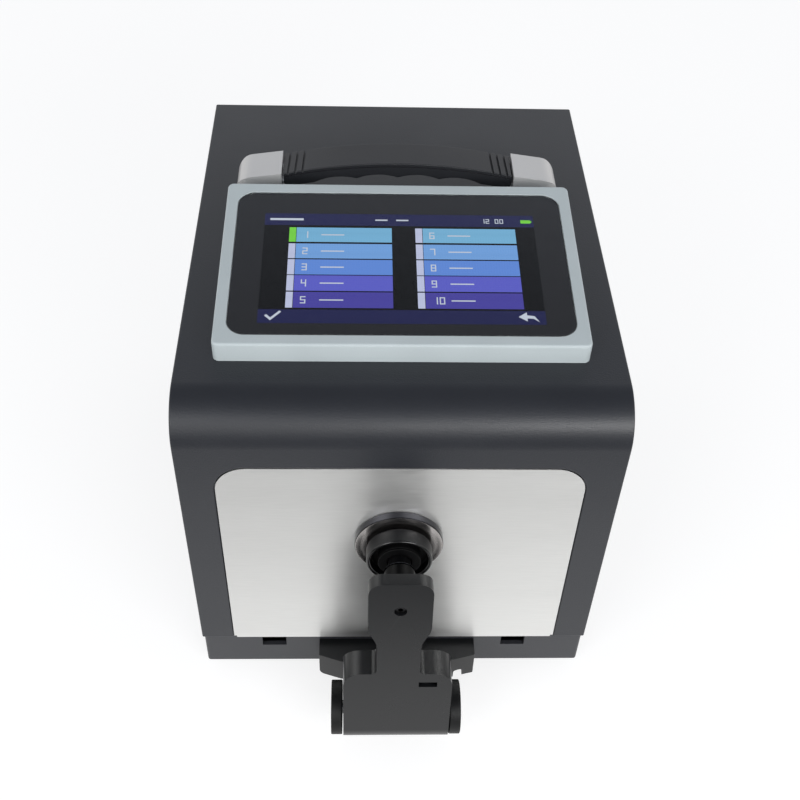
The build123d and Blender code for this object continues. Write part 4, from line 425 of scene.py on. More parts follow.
# %% Floor
FLOOR_SIZE = 12
ROOM_BEGINS, PAPER_BEGINS = -0.38, -0.26        # metres along Y, in reflections
DIM_ROOM, BRIGHT_PAPER = 0.12, 0.95             # their strengths
bpy.ops.object.select_all(action="DESELECT")
bpy.ops.mesh.primitive_plane_add(size=FLOOR_SIZE)
floor = bpy.context.object
floor.name = "floor"
paper = bpy.data.materials.new("white_paper_floor")
paper.use_nodes = True
sheet = paper.node_tree
sheet.nodes.clear()
ray = add(sheet, "ShaderNodeLightPath")
place = add(sheet, "ShaderNodeTexCoord").outputs["Object"]
ahead = add(sheet, "ShaderNodeSeparateXYZ", {0: place}).outputs["Y"]
reach = {0: ahead, 1: ROOM_BEGINS, 2: PAPER_BEGINS, 3: DIM_ROOM, 4: BRIGHT_PAPER}
near_edge = add(sheet, "ShaderNodeMapRange", reach, clamp=True).outputs[0]
matt = add(sheet, "ShaderNodeBsdfDiffuse", {"Color": (0.85, 0.85, 0.85, 1)})
bright = add(sheet, "ShaderNodeEmission", {"Color": (1, 1, 1, 1), "Strength": 1.25})
shown = add(sheet, "ShaderNodeMath", {0: ray.outputs["Is Camera Ray"], 1: 0.6}, operation="MULTIPLY")
mixed = add(sheet, "ShaderNodeMixShader", {0: shown.outputs[0], 1: matt.outputs[0], 2: bright.outputs[0]})
mirrored = add(sheet, "ShaderNodeEmission", {"Color": (1, 1, 1, 1), "Strength": near_edge})
either = {0: ray.outputs["Is Glossy Ray"], 1: mixed.outputs[0], 2: mirrored.outputs[0]}
final = add(sheet, "ShaderNodeMixShader", either)
add(sheet, "ShaderNodeOutputMaterial", {"Surface": final.outputs[0]})
floor.data.materials.append(paper)
print("floor:", FLOOR_SIZE, "m across")

# %% [markdown]
# ## Working by hand, in code
# Every new piece starts as a primitive and is shaped in edit mode, as it would be with the mouse.
# An operator acts on all that is selected, so each helper first selects one piece alone. Faces,
# edges and vertices are then picked by where they lie and which way they face.

# %% Selecting
def only(piece):
    """Selects one piece alone, in object mode."""
    if bpy.context.mode != "OBJECT":
        bpy.ops.object.mode_set(mode="OBJECT")
    bpy.ops.object.select_all(action="DESELECT")
    piece.select_set(True)
    bpy.context.view_layer.objects.active = piece


def settle(piece):
    """Puts a piece's place, turn and size into its mesh, so that its object sits at the origin."""
    only(piece)
    bpy.ops.object.transform_apply(location=True, rotation=True, scale=True)
    return piece


def pick(piece, kind, test):
    """Enters edit mode with what passes a test: test(middle in mm, normal or direction)."""
    only(piece)
    bpy.ops.object.mode_set(mode="EDIT")
    bpy.ops.mesh.select_mode(type=kind)
    bpy.ops.mesh.select_all(action="DESELECT")
    bpy.ops.object.mode_set(mode="OBJECT")
    mesh = piece.data
    if kind == "FACE":
        for face in mesh.polygons:
            face.select = test(back_to_mm(face.center), face.normal)
    elif kind == "EDGE":
        for edge in mesh.edges:
            start, end = (mesh.vertices[index].co for index in edge.vertices)
            edge.select = test(back_to_mm((start + end) / 2), (end - start).normalized())
    else:
        for vertex in mesh.vertices:
            vertex.select = test(back_to_mm(vertex.co), vertex.normal)
    bpy.ops.object.mode_set(mode="EDIT")


def done():
    """Leaves edit mode."""
    bpy.ops.object.mode_set(mode="OBJECT")


def near(value, target, slack=0.05):
    """True where a value lies within the slack of its target."""
    return abs(value - target) < slack


# %% [markdown]
# ## Shapes to start from
# A box is a stretched cube, and a rod is a cylinder laid between two places.

# %% Box and rod
def box_of(name, x, y, z):
    """A cube stretched to its low and high ends along each axis, in mm."""
    low, high = spot(x[0], y[0], z[0]), spot(x[1], y[1], z[1])
    bpy.ops.object.select_all(action="DESELECT")
    bpy.ops.mesh.primitive_cube_add(size=1, location=(low + high) / 2, scale=high - low)
    bpy.context.object.name = name
    return settle(bpy.context.object)


def rod_of(name, radius, start, end, sides=64):
    """A cylinder between two places in mm."""
    start, end = spot(*start), spot(*end)
    bpy.ops.object.select_all(action="DESELECT")
    run = end - start
    bpy.ops.mesh.primitive_cylinder_add(vertices=sides, radius=radius * MM, depth=run.length,
                                        location=(start + end) / 2,
                                        rotation=run.to_track_quat("Z", "Y").to_euler())
    bpy.context.object.name = name
    return settle(bpy.context.object)


# %% [markdown]
# A slab is drawn as an outline: one vertex is pulled from corner to corner, the loop is filled, and
# the face is pushed to its depth. A turned piece is half an outline, spun round an axis.

# %% Slab and turned piece
SAME = 0.001 * MM       # vertices nearer than this are one


def pull(name, places):
    """One vertex, pulled from place to place in mm, left in edit mode."""
    bpy.ops.object.select_all(action="DESELECT")
    bpy.ops.mesh.primitive_plane_add(size=MM, location=spot(*places[0]))
    piece = bpy.context.object
    piece.name = name
    settle(piece)
    bpy.ops.object.mode_set(mode="EDIT")
    bpy.ops.mesh.select_mode(type="VERT")
    bpy.ops.mesh.select_all(action="SELECT")
    bpy.ops.mesh.merge(type="CENTER")
    for start, end in zip(places, places[1:]):
        step = spot(*end) - spot(*start)
        bpy.ops.mesh.extrude_vertices_move(TRANSFORM_OT_translate={"value": step})
    bpy.ops.mesh.select_all(action="SELECT")
    return piece


def slab_of(name, places, depth):
    """A slab with an outline of places in mm, as deep as a direction in mm."""
    piece = pull(name, places)
    bpy.ops.mesh.edge_face_add()
    bpy.ops.mesh.extrude_region_move(TRANSFORM_OT_translate={"value": Vector(depth) * MM})
    bpy.ops.mesh.select_all(action="SELECT")
    bpy.ops.mesh.normals_make_consistent(inside=False)
    done()
    return piece


def turned_piece(name, profile, centre, along, steps=96):
    """A closed outline of (distance along the axis, radius), spun round an axis through a centre."""
    axis, out = Vector(along), Vector((0, 0, 1))
    places = [Vector(centre) + axis * far + out * radius for far, radius in profile]
    piece = pull(name, places + places[:1])
    bpy.ops.mesh.remove_doubles(threshold=SAME)
    bpy.ops.mesh.select_all(action="SELECT")
    bpy.ops.mesh.spin(steps=steps, angle=radians(360), center=spot(*centre), axis=axis)
    bpy.ops.mesh.select_all(action="SELECT")
    bpy.ops.mesh.remove_doubles(threshold=SAME)
    bpy.ops.mesh.normals_make_consistent(inside=False)
    done()
    return piece


def arc(middle, radius, start, end, steps):
    """Points of an arc, as (across, up), from one angle to another."""
    angles = [radians(start + (end - start) * step / steps) for step in range(steps + 1)]
    return [(middle[0] + radius * cos(angle), middle[1] + radius * sin(angle)) for angle in angles]


# %% [markdown]
# ## Finishing a piece
# No real edge is perfectly sharp. A Bevel modifier rounds every edge that is sharper than an
# angle, and Weighted Normal keeps the flat faces flat next to it. A Boolean cuts holes. Each
# modifier is applied at once, so that the mesh holds its final form.

# %% Rounding, cutting and riding
def use(piece, kind, **settings):
    """Adds one modifier to a piece and applies it."""
    only(piece)
    modifier = piece.modifiers.new(kind.title(), kind)
    for key, value in settings.items():
        setattr(modifier, key, value)
    bpy.ops.object.modifier_apply(modifier=modifier.name)


def cut(piece, *cutters, how="DIFFERENCE"):
    """Takes the cutters out of a piece, or joins or overlaps them, and removes them."""
    for cutter in cutters:
        use(piece, "BOOLEAN", object=cutter, operation=how, solver="EXACT")
        bpy.data.objects.remove(cutter)
    return piece


def round_edges(piece, width, steps, test):
    """Rounds the edges that pass a test by so many mm."""
    pick(piece, "EDGE", test)
    bpy.ops.mesh.bevel(offset=width * MM, segments=steps, affect="EDGES")
    done()
    return piece


def soften(piece, width, steps=3, angle=30):
    """A small round on every sharp edge, and shading that keeps flat faces flat."""
    if width:
        use(piece, "BEVEL", width=width * MM, segments=steps, limit_method="ANGLE",
            angle_limit=radians(angle), use_clamp_overlap=True)
    only(piece)
    bpy.ops.object.shade_smooth_by_angle(angle=radians(40))
    use(piece, "WEIGHTED_NORMAL", keep_sharp=True)
    return piece


def fit(piece, body, slot, *replaced, finish=None):
    """Gives a piece its finish, the body that it moves with, and the working pieces it stands for."""
    piece.data.materials.clear()
    piece.data.materials.append(finish or finishes[slot])
    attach(piece, body)
    if replaced:
        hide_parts(*replaced)
    print(piece.name, "faces:", len(piece.data.polygons), "body:", body)
    return piece


def join(first, *others):
    """Makes one piece of several."""
    only(first)
    for other in others:
        other.select_set(True)
    bpy.context.view_layer.objects.active = first
    bpy.ops.object.join()
    return first


def paint_faces(piece, choose, *more):
    """Adds finishes to a piece. Each face takes the one whose number choose(middle, normal) gives."""
    for name in more:
        piece.data.materials.append(finishes[name])
    for face in piece.data.polygons:
        face.material_index = choose(back_to_mm(face.center), face.normal)


def off_axis(place):
    """Distance in mm from the axis of the measuring port."""
    return Vector((place[0], place[2] - Z_PORT)).length


# %% [markdown]
# ## Cover
# The real cover is one steel sheet, folded to two sides and a top, with a large round bend at the
# front and a window cut for the front panel. Here a box gets its front top edge rounded, loses its
# bottom and back, and Solidify gives it the wall of a sheet. The window is then cut through. A bent
# outline pushed sideways would give the same top and front, but its two sides would be missing.

# %% Cover
CASE_X, CASE_D, BEND_R = 120.0, 290.0, 25.0         # half width, depth, round bend
PANEL_X, PANEL_TOP, PANEL_R, PANEL_T = 100.0, 196.0, 17.5, 2.5
PANEL_GAP = 0.4
WINDOW_BELOW = 8.0      # how far the window's cutter reaches past the cover's open lower edge
THROUGH = (-5, 10)      # along Y, from before the front face to behind its sheet


def panel_shape(name, grow, y, low):
    """The front panel's outline with its two round upper corners."""
    x, top = PANEL_X + grow, PANEL_TOP + grow
    shape = box_of(name, (-x, x), y, (low, top))
    return round_edges(shape, PANEL_R + grow, 16,
                       lambda m, d: near(abs(m[0]), x) and near(m[2], top) and near(abs(d.y), 1))


cover = box_of("cover_sheet", (-CASE_X, CASE_X), (0, CASE_D), (Z_STRIP, Z_TOP))
round_edges(cover, BEND_R, 24,
            lambda m, d: near(m[1], 0) and near(m[2], Z_TOP) and near(abs(d.x), 1))
pick(cover, "FACE", lambda m, n: n.z < -0.9 or n.y > 0.9)
bpy.ops.mesh.delete(type="FACE")
done()
use(cover, "SOLIDIFY", thickness=WALL * MM, offset=-1, use_even_offset=True)
cut(cover, panel_shape("window", PANEL_GAP, THROUGH, Z_STRIP - WINDOW_BELOW))
soften(cover, 0.9, 3)
fit(cover, "instrument", "cover_paint", "top_cover")

# %% [markdown]
# ## Front panel
# A brushed and anodised aluminium sheet, flush in the cover's window, with a hole for the seat of
# the measuring port and a small square relief in each lower corner. The function that shaped the
# window shapes the panel too, a little smaller, so the gap along its sides and top is even.

# %% Front panel
SEAT_HOLE_R, NOTCH = 21.3, 1.6
panel = panel_shape("panel_plate", 0, (0, PANEL_T), Z_STRIP)
cut(panel, rod_of("hole", SEAT_HOLE_R, (0, THROUGH[0], Z_PORT), (0, THROUGH[1], Z_PORT)),
    box_of("notch", (-PANEL_X - 1, NOTCH - PANEL_X), THROUGH, (Z_STRIP - 1, Z_STRIP + NOTCH)),
    box_of("notch", (PANEL_X - NOTCH, PANEL_X + 1), THROUGH, (Z_STRIP - 1, Z_STRIP + NOTCH)))
soften(panel, 0.3, 2)
fit(panel, "instrument", "panel_aluminium", "front_panel")

# %% [markdown]
# ## Screen bezel
# A moulded frame that tilts the screen towards the user by about five degrees. A box gets its back
# edge lifted, its corners rounded, a pocket for the glass and an opening for the display below it.
# A flat frame could be turned to the slope instead, but then it would not sit flat on the cover.

# %% Screen bezel
TILT = radians(5.12)
BEZEL_X, BEZEL_Y, BEZEL_FRONT, BEZEL_RUN = 100.0, 40.3, 248.2, 126.49
GLASS_X, GLASS_FROM, GLASS_LEN, GLASS_R = 93.0, 7.2, 111.6, 10.0
GLASS_T, GLASS_GAP, POCKET = 1.4, 0.3, 1.8
RIM_X, RIM_Y = 5.5, 3               # ledge under the glass, at its sides and its ends
OVER = -30                          # well above the screen's face, where a cutter starts


def tilted_slab(name, x, along, down, corner=0, steps=12):
    """A slab parallel to the screen: along is up its slope, down is below its face, all in mm."""
    piece = box_of(name, x, (along[0] + Y_MIDDLE, along[1] + Y_MIDDLE), (-down[1], -down[0]))
    if corner:
        pick(piece, "EDGE", lambda m, d: near(abs(d.z), 1))
        bpy.ops.mesh.bevel(offset=corner * MM, segments=steps, affect="EDGES")
        done()
    piece.rotation_euler.x = TILT
    piece.location = spot(0, BEZEL_Y, BEZEL_FRONT)
    return settle(piece)


bezel = box_of("bezel_frame", (-BEZEL_X, BEZEL_X), (BEZEL_Y, BEZEL_Y + BEZEL_RUN), (Z_TOP, BEZEL_FRONT))
pick(bezel, "VERT", lambda m, n: m[1] > BEZEL_Y + 1 and m[2] > Z_TOP + 1)   # upper back edge
bpy.ops.transform.translate(value=(0, 0, BEZEL_RUN * tan(TILT) * MM))
done()
round_edges(bezel, 3.5, 8, lambda m, d: near(abs(d.z), 1, 0.01))
round_edges(bezel, 1.4, 5, lambda m, d: m[2] > BEZEL_FRONT - 0.5 and abs(d.z) < 0.5)
cut(bezel,
    tilted_slab("pocket", (-GLASS_X - GLASS_GAP, GLASS_X + GLASS_GAP),
                (GLASS_FROM - GLASS_GAP, GLASS_FROM + GLASS_LEN + GLASS_GAP), (OVER, POCKET),
                GLASS_R + GLASS_GAP),
    tilted_slab("opening", (RIM_X - GLASS_X, GLASS_X - RIM_X),
                (GLASS_FROM + RIM_Y, GLASS_FROM + GLASS_LEN - RIM_Y), (OVER, 40), 3, 4))
soften(bezel, 0.3, 2, 50)
fit(bezel, "instrument", "bezel_plastic", "screen_bezel")

# %% [markdown]
# ## Screen
# On the real screen one sheet of glass covers everything. A black border is printed on its back,
# and the display shines through the clear middle. The layers are modelled in that order. One block
# with painted faces would be quicker, but would have no clear glass over its print.

# %% Screen glass and ink
INK_DEPTH, DISPLAY_DEPTH = 1.42, 1.6
ACTIVE_X, ACTIVE = 77.04, (16.1, 101.9)         # the lit area, 154 by 86 mm
GLASS_ALONG = (GLASS_FROM, GLASS_FROM + GLASS_LEN)
glass = tilted_slab("screen_glass", (-GLASS_X, GLASS_X), GLASS_ALONG, (0.05, GLASS_T), GLASS_R)
soften(glass, 0.3, 3)
fit(glass, "instrument", "touch_glass", "touch_glass")

# the black border printed on the glass's back, shown by painted light
ink_painted_light = tilted_slab("glass_ink_painted_light", (-GLASS_X, GLASS_X), GLASS_ALONG, (INK_DEPTH, DISPLAY_DEPTH), GLASS_R)
cut(ink_painted_light, tilted_slab("clear_part", (-ACTIVE_X, ACTIVE_X), ACTIVE, (OVER, 30), 0.6, 3))
soften(ink_painted_light, 0)
fit(ink_painted_light, "instrument", "touch_glass", finish=screen_finishes["ink_painted_light"])

# %% [markdown]
# ## Display picture
# The display shows two columns of coloured bars, each with a small tab and a plain number. A
# display is flat, so its picture is a set of thin tiles that give off light. Such tiles stay sharp
# from near by, and need no picture file.

# %% Bars and tabs
TILE_T, MARK_DEPTH = 0.2, DISPLAY_DEPTH - 0.1       # marks lie a little above the bars


def tile(name, x, along, look, depth=DISPLAY_DEPTH):
    """A thin rectangle of one colour of the display."""
    piece = tilted_slab(name, x, along, (depth, depth + TILE_T))
    piece.data.materials.append(screen_finishes[look])
    return piece


ROW_TOPS = (90.3, 77.1, 64.4, 52.0, 39.3)
ROW_H = 11.7
COLUMNS = ((-62.7, -58.6, -4.7), (8.7, 12.9, 65.9))     # start of the tab, start and end of the bar
tiles = [tile("display_picture", (-ACTIVE_X, ACTIVE_X), ACTIVE, "dark", DISPLAY_DEPTH + 0.1),
         tile("title_bar", (-ACTIVE_X, ACTIVE_X), (92.3, ACTIVE[1]), "bar"),
         tile("bottom_bar", (-ACTIVE_X, ACTIVE_X), (ACTIVE[0], 26.2), "bar")]
for number, top in enumerate(ROW_TOPS):
    for column, (tab_x, bar_x, bar_end) in enumerate(COLUMNS):
        look = "green" if number == 0 and column == 0 else "tab"
        tiles.append(tile("tab", (tab_x, bar_x - 0.3), (top - ROW_H, top), look))
        tiles.append(tile("bar", (bar_x, bar_end), (top - ROW_H, top), f"row_{number + 1}"))
print("tiles so far:", len(tiles))

# %% [markdown]
# Each bar carries a plain number, built of straight strokes as on a pocket calculator: Blender's
# own text would do too, but it has to be made a mesh and laid on the slope. The check mark and the
# back arrow are thin slabs, and the battery is two tiles.

# %% Numbers and signs
STROKES = {"a": (0, 2, 1, 2), "b": (1, 1, 1, 2), "c": (1, 0, 1, 1), "d": (0, 0, 1, 0), "e": (0, 0, 0, 1),
           "f": (0, 1, 0, 2), "g": (0, 1, 1, 1)}
NUMERALS = {"0": "abcdef", "1": "bc", "2": "abged", "3": "abgcd", "4": "fgbc", "5": "afgcd", "6": "afgedc",
            "7": "abc", "8": "abcdefg", "9": "abcdfg"}


def number_tiles(text, x, low, size):
    """Strokes of a whole number, from its left lower corner, with numerals of one height."""
    made, half = [], size / 14
    for place, letter in enumerate(text):
        left = x + place * size * 0.85
        for x0, up0, x1, up1 in (STROKES[stroke] for stroke in NUMERALS[letter]):
            made.append(tile("stroke", (left + x0 * size / 2 - half, left + x1 * size / 2 + half),
                             (low + up0 * size / 2 - half, low + up1 * size / 2 + half), "text", MARK_DEPTH))
    return made


def on_screen(x, along):
    """A place on the display's face, in mm."""
    return (x, BEZEL_Y + along * cos(TILT) + MARK_DEPTH * sin(TILT),
            BEZEL_FRONT + along * sin(TILT) - MARK_DEPTH * cos(TILT))


def sign(places):
    """A flat sign with an outline of places on the display."""
    piece = slab_of("sign", [on_screen(*place) for place in places], (0, 0, -0.1))
    piece.data.materials.append(screen_finishes["text"])
    return piece


for number, top in enumerate(ROW_TOPS):
    for column, (tab_x, bar_x, bar_end) in enumerate(COLUMNS):
        low = top - ROW_H + 3.4
        tiles += number_tiles(str(number + 1 + 5 * column), bar_x + 4, low, 4.6)
        tiles.append(tile("label", (bar_x + 14, bar_x + 27), (low + 1.9, low + 2.7), "text", MARK_DEPTH))
tiles += number_tiles("12", 47, 95.2, 3.2) + number_tiles("00", 55, 95.2, 3.2)
tiles += [tile("title", (-74, -55), (96.2, 97.8), "text", MARK_DEPTH),
          tile("state", (-14, -7), (96.4, 97.4), "text", MARK_DEPTH),
          tile("state", (-2, 5), (96.4, 97.4), "text", MARK_DEPTH),
          tile("charge", (69.6, 75.2), (95.4, 98.0), "green", MARK_DEPTH),
          tile("charge", (75.2, 75.9), (96.1, 97.3), "green", MARK_DEPTH),
          sign([(-73.5, 21.6), (-72.4, 22.5), (-70.2, 20.2), (-65.6, 25.2), (-64.6, 24.4), (-70.2, 18.2)]),
          sign([(62.4, 21.8), (67.0, 25.2), (67.0, 23.0), (71.0, 22.4), (73.4, 18.2), (70.4, 20.6),
                (67.0, 20.8), (67.0, 18.6)])]
picture = join(*tiles)
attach(picture, "instrument")
print(picture.name, "tiles:", len(tiles), "finishes:", len(picture.data.materials))

# %% [markdown]
# ## Handle
# Two die-cast caps hold a sprung steel strap, and a soft vinyl grip is moulded round the strap.
# A cap is the overlap of two slabs. One has its outline seen from the front, the other its
# outline seen from above, with the outer corners rounded. A casting could be sculpted as well, but
# two outlines keep both caps alike and true to size.

# %% Handle caps
HANDLE_Y, CAP_DEPTH = 193.5, 24.5
CAP_INNER, CAP_OUTER, CAP_CORNER = 70.0, 98.5, 8.0
STRAP_HALF, STRAP_Z, STRAP_ROOM = 9.0, 11.0, 0.3
TAB_INNER, TAB_OUTER, TAB_H = 50, 88, 4.4       # the hollow that takes the strap's end


def cap_piece(name, side):
    """A cap of the handle, on the right for side 1 and on the left for -1."""
    crown = [(88, 17.3)] + arc((87.4, 7.0), 10.2, 78, 8, 12)
    outline = [(CAP_INNER, 0), (CAP_INNER, 20)] + crown + [(CAP_OUTER, 0)]
    y = HANDLE_Y - CAP_DEPTH / 2
    front = slab_of(name, [(side * x, y, Z_TOP + z) for x, z in outline], (0, CAP_DEPTH, 0))
    plan = box_of("plan", sorted((side * TAB_INNER, side * CAP_OUTER)), (y, y + CAP_DEPTH),
                  (Z_TOP - 1, Z_TOP + 40))
    round_edges(plan, CAP_CORNER, 12,
                lambda m, d: near(m[0], side * CAP_OUTER) and near(abs(d.z), 1))
    cut(front, plan, how="INTERSECT")
    soften(front, 1.7, 6, 35)
    tab = box_of("tab_room", sorted((side * TAB_INNER, side * TAB_OUTER)),
                 (HANDLE_Y - STRAP_HALF - STRAP_ROOM, HANDLE_Y + STRAP_HALF + STRAP_ROOM),
                 (Z_TOP + STRAP_Z - STRAP_ROOM, Z_TOP + STRAP_Z + TAB_H))
    cut(front, tab)
    return soften(front, 0.2, 2, 60)


for side, name in ((1, "right"), (-1, "left")):
    cap = cap_piece(f"cap_{name}", side)
    fit(cap, "instrument", "cap_paint", f"handle_cap_{name}")

# %% [markdown]
# The grip is a slab with an arched top and four finger hollows below. Three grooves cross each end,
# and a line runs along both sides where the two halves of its mould met. The hollows could be part
# of the outline, but four equal rods, placed along the arch, cut them with fewer points.

# %% Handle grip
GRIP_HALF, GRIP_DEPTH, GRIP_END_TOP, GRIP_RISE, GRIP_T = 69.0, 21.4, 19.0, 8.0, 9.8


def arch(x, end_height):
    """Height of the grip's round arch over the cover, with its ends at one height."""
    radius = (GRIP_HALF ** 2 + GRIP_RISE ** 2) / (2 * GRIP_RISE)
    return end_height + GRIP_RISE - radius + sqrt(radius ** 2 - x ** 2)


across = [GRIP_HALF - GRIP_HALF * step / 24 for step in range(49)]
upper = [(x, arch(x, GRIP_END_TOP)) for x in across]
lower = [(-x, arch(x, GRIP_END_TOP - GRIP_T)) for x in across]
y = HANDLE_Y - GRIP_DEPTH / 2
grip = slab_of("grip_sleeve", [(x, y, Z_TOP + z) for x, z in upper + lower], (0, GRIP_DEPTH, 0))
round_edges(grip, 5.5, 8,
            lambda m, d: near(abs(m[0]), GRIP_HALF, 1) and m[2] < Z_TOP + 12 and near(abs(d.y), 1))
FINGER_PITCH, FINGER_DEEP = 22.6, 2.0
finger_r = ((FINGER_PITCH / 2) ** 2 + FINGER_DEEP ** 2) / (2 * FINGER_DEEP)
fingers = []
for place in (-1.5, -0.5, 0.5, 1.5):
    x = place * FINGER_PITCH
    z = Z_TOP + arch(x, GRIP_END_TOP - GRIP_T) + FINGER_DEEP - finger_r
    fingers.append(rod_of("finger", finger_r, (x, y - 5, z), (x, y + GRIP_DEPTH + 5, z), 96))
cut(grip, *fingers)
soften(grip, 1.1, 4, 25)

# %% Mould lines and grooves of the grip
LINE_TOP, LINE_LOW, LINE_DEEP = 1.5, 2.5, 0.8       # below the arch's top, and into the side


def side_line(y_face):
    """A thin bar that follows the arch below its top, for the line along a side."""
    outline = [(x, arch(x, GRIP_END_TOP) - LINE_TOP) for x in across]
    outline += [(-x, arch(x, GRIP_END_TOP) - LINE_LOW) for x in across]
    return slab_of("side_line", [(x, y_face - LINE_DEEP, Z_TOP + z) for x, z in outline],
                   (0, 2 * LINE_DEEP, 0))


cut(grip, side_line(y), side_line(y + GRIP_DEPTH))
GROOVE_FIRST, GROOVE_PITCH, GROOVE_HALF, GROOVE_DEEP, GROOVE_LEAN = 3.4, 4.4, 0.65, 1.5, 0.6
grooves = []
for side in (-1, 1):
    for index in range(3):
        x = GRIP_HALF - GROOVE_FIRST - GROOVE_PITCH * index
        z = Z_TOP + arch(x, GRIP_END_TOP) - GROOVE_DEEP
        front, back = side * x + side * GROOVE_LEAN, side * x - side * GROOVE_LEAN
        ends = [(front - GROOVE_HALF, y - 2), (front + GROOVE_HALF, y - 2),
                (back + GROOVE_HALF, y + GRIP_DEPTH + 2), (back - GROOVE_HALF, y + GRIP_DEPTH + 2)]
        grooves.append(slab_of("groove", [(px, py, z) for px, py in ends], (0, 0, 6)))
cut(grip, *grooves)
soften(grip, 0.25, 2, 40)
fit(grip, "handle", "grip_vinyl", "handle_grip")

# %% [markdown]
# ## Measuring port
# A turned steel plate stands on the front panel and holds the specimen over a round opening. It is half an
# outline, spun round the port's axis. Insetting and pushing the end of a cylinder would do too, but the
# outline shows every step at once. The rim is turned rougher than the polished face. The rim and the bevels
# between them are given darker colours, the bevels darkest: painted shade of the dark things they mirror. So
# the faces are sorted by their normals into three finishes.

# %% Port plate
PORT = (0, 0, Z_PORT)


def port_piece(name, profile, steps=96):
    """A closed outline of (place along Y, radius), spun round the port's axis."""
    return turned_piece(name, profile, PORT, (0, 1, 0), steps=steps)


port_plate = port_piece("port_plate", [(-5, 9), (-5, 25), (-0.3, 25), (-0.3, 17.2), (6, 17.2), (6, 12.5)])
soften(port_plate, 0.6, 4)
fit(port_plate, "aperture", "port_steel", "aperture_plate")
RIM = 24                # mm from the axis: a face past it belongs to the rim or its bevels


def rim_finish(middle, normal):
    """0 for the polished face, 1 for the rim and 2 for the bevels between them; 1 and 2 carry painted shade.
    """
    if off_axis(middle) <= RIM:
        return 0
    away = abs(normal.y)
    return 1 if away <= 0.3 else 2 if away < 0.97 else 0


# the rim and bevel finishes are the same steel made darker: painted shade
paint_faces(port_plate, rim_finish, "port_rim_painted_shade", "port_bevel_painted_shade")

# %% [markdown]
# ## Specimen pad
# A moulded cup with a rubber face presses the specimen on the port. It swivels on a ball, whose stem is held
# in the cup by a dull black ring. The cup's hollow takes the ring's darker, duller black, which is painted
# shade in the recess. The cup's lip is round and polished by use. All three lie round the port's axis, so
# they are spun as its plate was.

# %% Specimen pad
LIP_Y, SHADED_HOLLOW_R = -15.2, 16      # faces before the one are the lip, within the other the hollow
lip = arc((-15.15, 17.35), 1.15, 270, 90, 12)
cup = port_piece("pad_cup_shell", lip + [(-8, 18.5), (-8, 1), (-10.4, 1), (-10.4, 9.6), (-15.2, 9.6),
                                         (-15.2, 12), (-10.4, 12), (-10.4, 16.2)])
soften(cup, 0.3, 3)
fit(cup, "pad", "cup_plastic", "pad_cup")
# faces within the hollow take the nylon's darker black: painted shade
paint_faces(cup, lambda m, n: 2 if off_axis(m) < SHADED_HOLLOW_R else 1 if m[1] < LIP_Y else 0,
            "lip_black", "retainer_plastic")
pad_rubber = port_piece("pad_rubber", [(-8, 0.5), (-8, 18.2), (-7, 18.2), (-7, 0.5)])
soften(pad_rubber, 0.3, 3)
fit(pad_rubber, "pad", "pad_rubber", "pad_face")
ring = port_piece("pad_ring", [(-16.6, 7), (-16.6, 12), (-15.2, 12), (-15.2, 7)])
soften(ring, 0.3, 3)
fit(ring, "pad", "retainer_plastic", "pad_retainer")

# %% [markdown]
# ## Clamp arm
# The arm is the overlap of two slabs. One has the outline that is seen from the front: a wide foot,
# a narrow neck and a round-cornered head. The other has the outline from the side: a round foot
# round the hinge, a leaning front and a flat back. Holes and hollows are cut after that. Faces could
# be pushed out of a box as well, but the round foot and the leaning front are easier to draw.

# %% Front outline of the arm
HINGE = (0, HINGE_Y, Z_HINGE)
LEAN_DEGREES = 6.6
FOOT_R, LEAN = 16.6, radians(LEAN_DEGREES)
BACK_Y = HINGE_Y + 6.2
FOOT_X, NECK_X, HEAD_X = 31.3, 12.3, 17.5
SHOULDER, NECK_TOP, HEAD_LOW, ARM_TOP = 54.5, 80.0, 92.0, 129.0
# where the leaning front touches the round foot
touch = (0, HINGE_Y - FOOT_R * cos(LEAN), Z_HINGE + FOOT_R * sin(LEAN))


def along_face(height):
    """Distance up the leaning front, from the round foot to a height over the hinge."""
    return (height - FOOT_R * sin(LEAN)) / cos(LEAN)


half = [(FOOT_X, -2 * FOOT_R), (FOOT_X, along_face(SHOULDER)), (NECK_X, along_face(SHOULDER)),
        (NECK_X, along_face(NECK_TOP)), (HEAD_X, along_face(HEAD_LOW)), (HEAD_X, along_face(ARM_TOP))]
arm = slab_of("arm_shell", [(x, Y_MIDDLE, z) for x, z in half + [(-x, z) for x, z in reversed(half)]],
              (0, 4 * FOOT_R, 0))
ROUNDS = ((11, 12), (3, 6), (3, 4), (3, 4), (8, 10))    # radius and steps, from the shoulder up
for place, (radius, steps) in zip(half[1:], ROUNDS):
    round_edges(arm, radius, steps,
                lambda m, d: near(abs(m[0]), place[0]) and near(m[2], place[1]) and abs(d.y) > 0.9)
arm.rotation_euler.x = -LEAN
arm.location = spot(*touch)
settle(arm)
print("arm slab leans from", [round(value, 2) for value in touch])

# %% [markdown]
# From the side, the back leaves the round foot where a line from the shoulder just touches it. The
# angle of that place comes from the right triangle of hinge, touching place and shoulder.

# %% Side outline of the arm
lift = Vector((BACK_Y - HINGE_Y, SHOULDER))
low_back = atan2(lift.y, lift.x) - acos(FOOT_R / lift.length)
foot = arc((HINGE_Y, Z_HINGE), FOOT_R, low_back * 180 / pi, 180 - LEAN_DEGREES - 360, 40)
rise = Vector((sin(LEAN), cos(LEAN))) * 2 * ARM_TOP
side_outline = foot + [(touch[1] + rise.x, touch[2] + rise.y),
                       (touch[1] + rise.x + FOOT_R, touch[2] + rise.y),
                       (BACK_Y, Z_HINGE + ARM_TOP), (BACK_Y, Z_HINGE + SHOULDER)]
side = slab_of("arm_side", [(-FOOT_X - 1, y, z) for y, z in side_outline], (2 * FOOT_X + 2, 0, 0))
cut(arm, side, how="INTERSECT")
soften(arm, 1.2, 4, 32)
print("arm faces after the overlap:", len(arm.data.polygons))
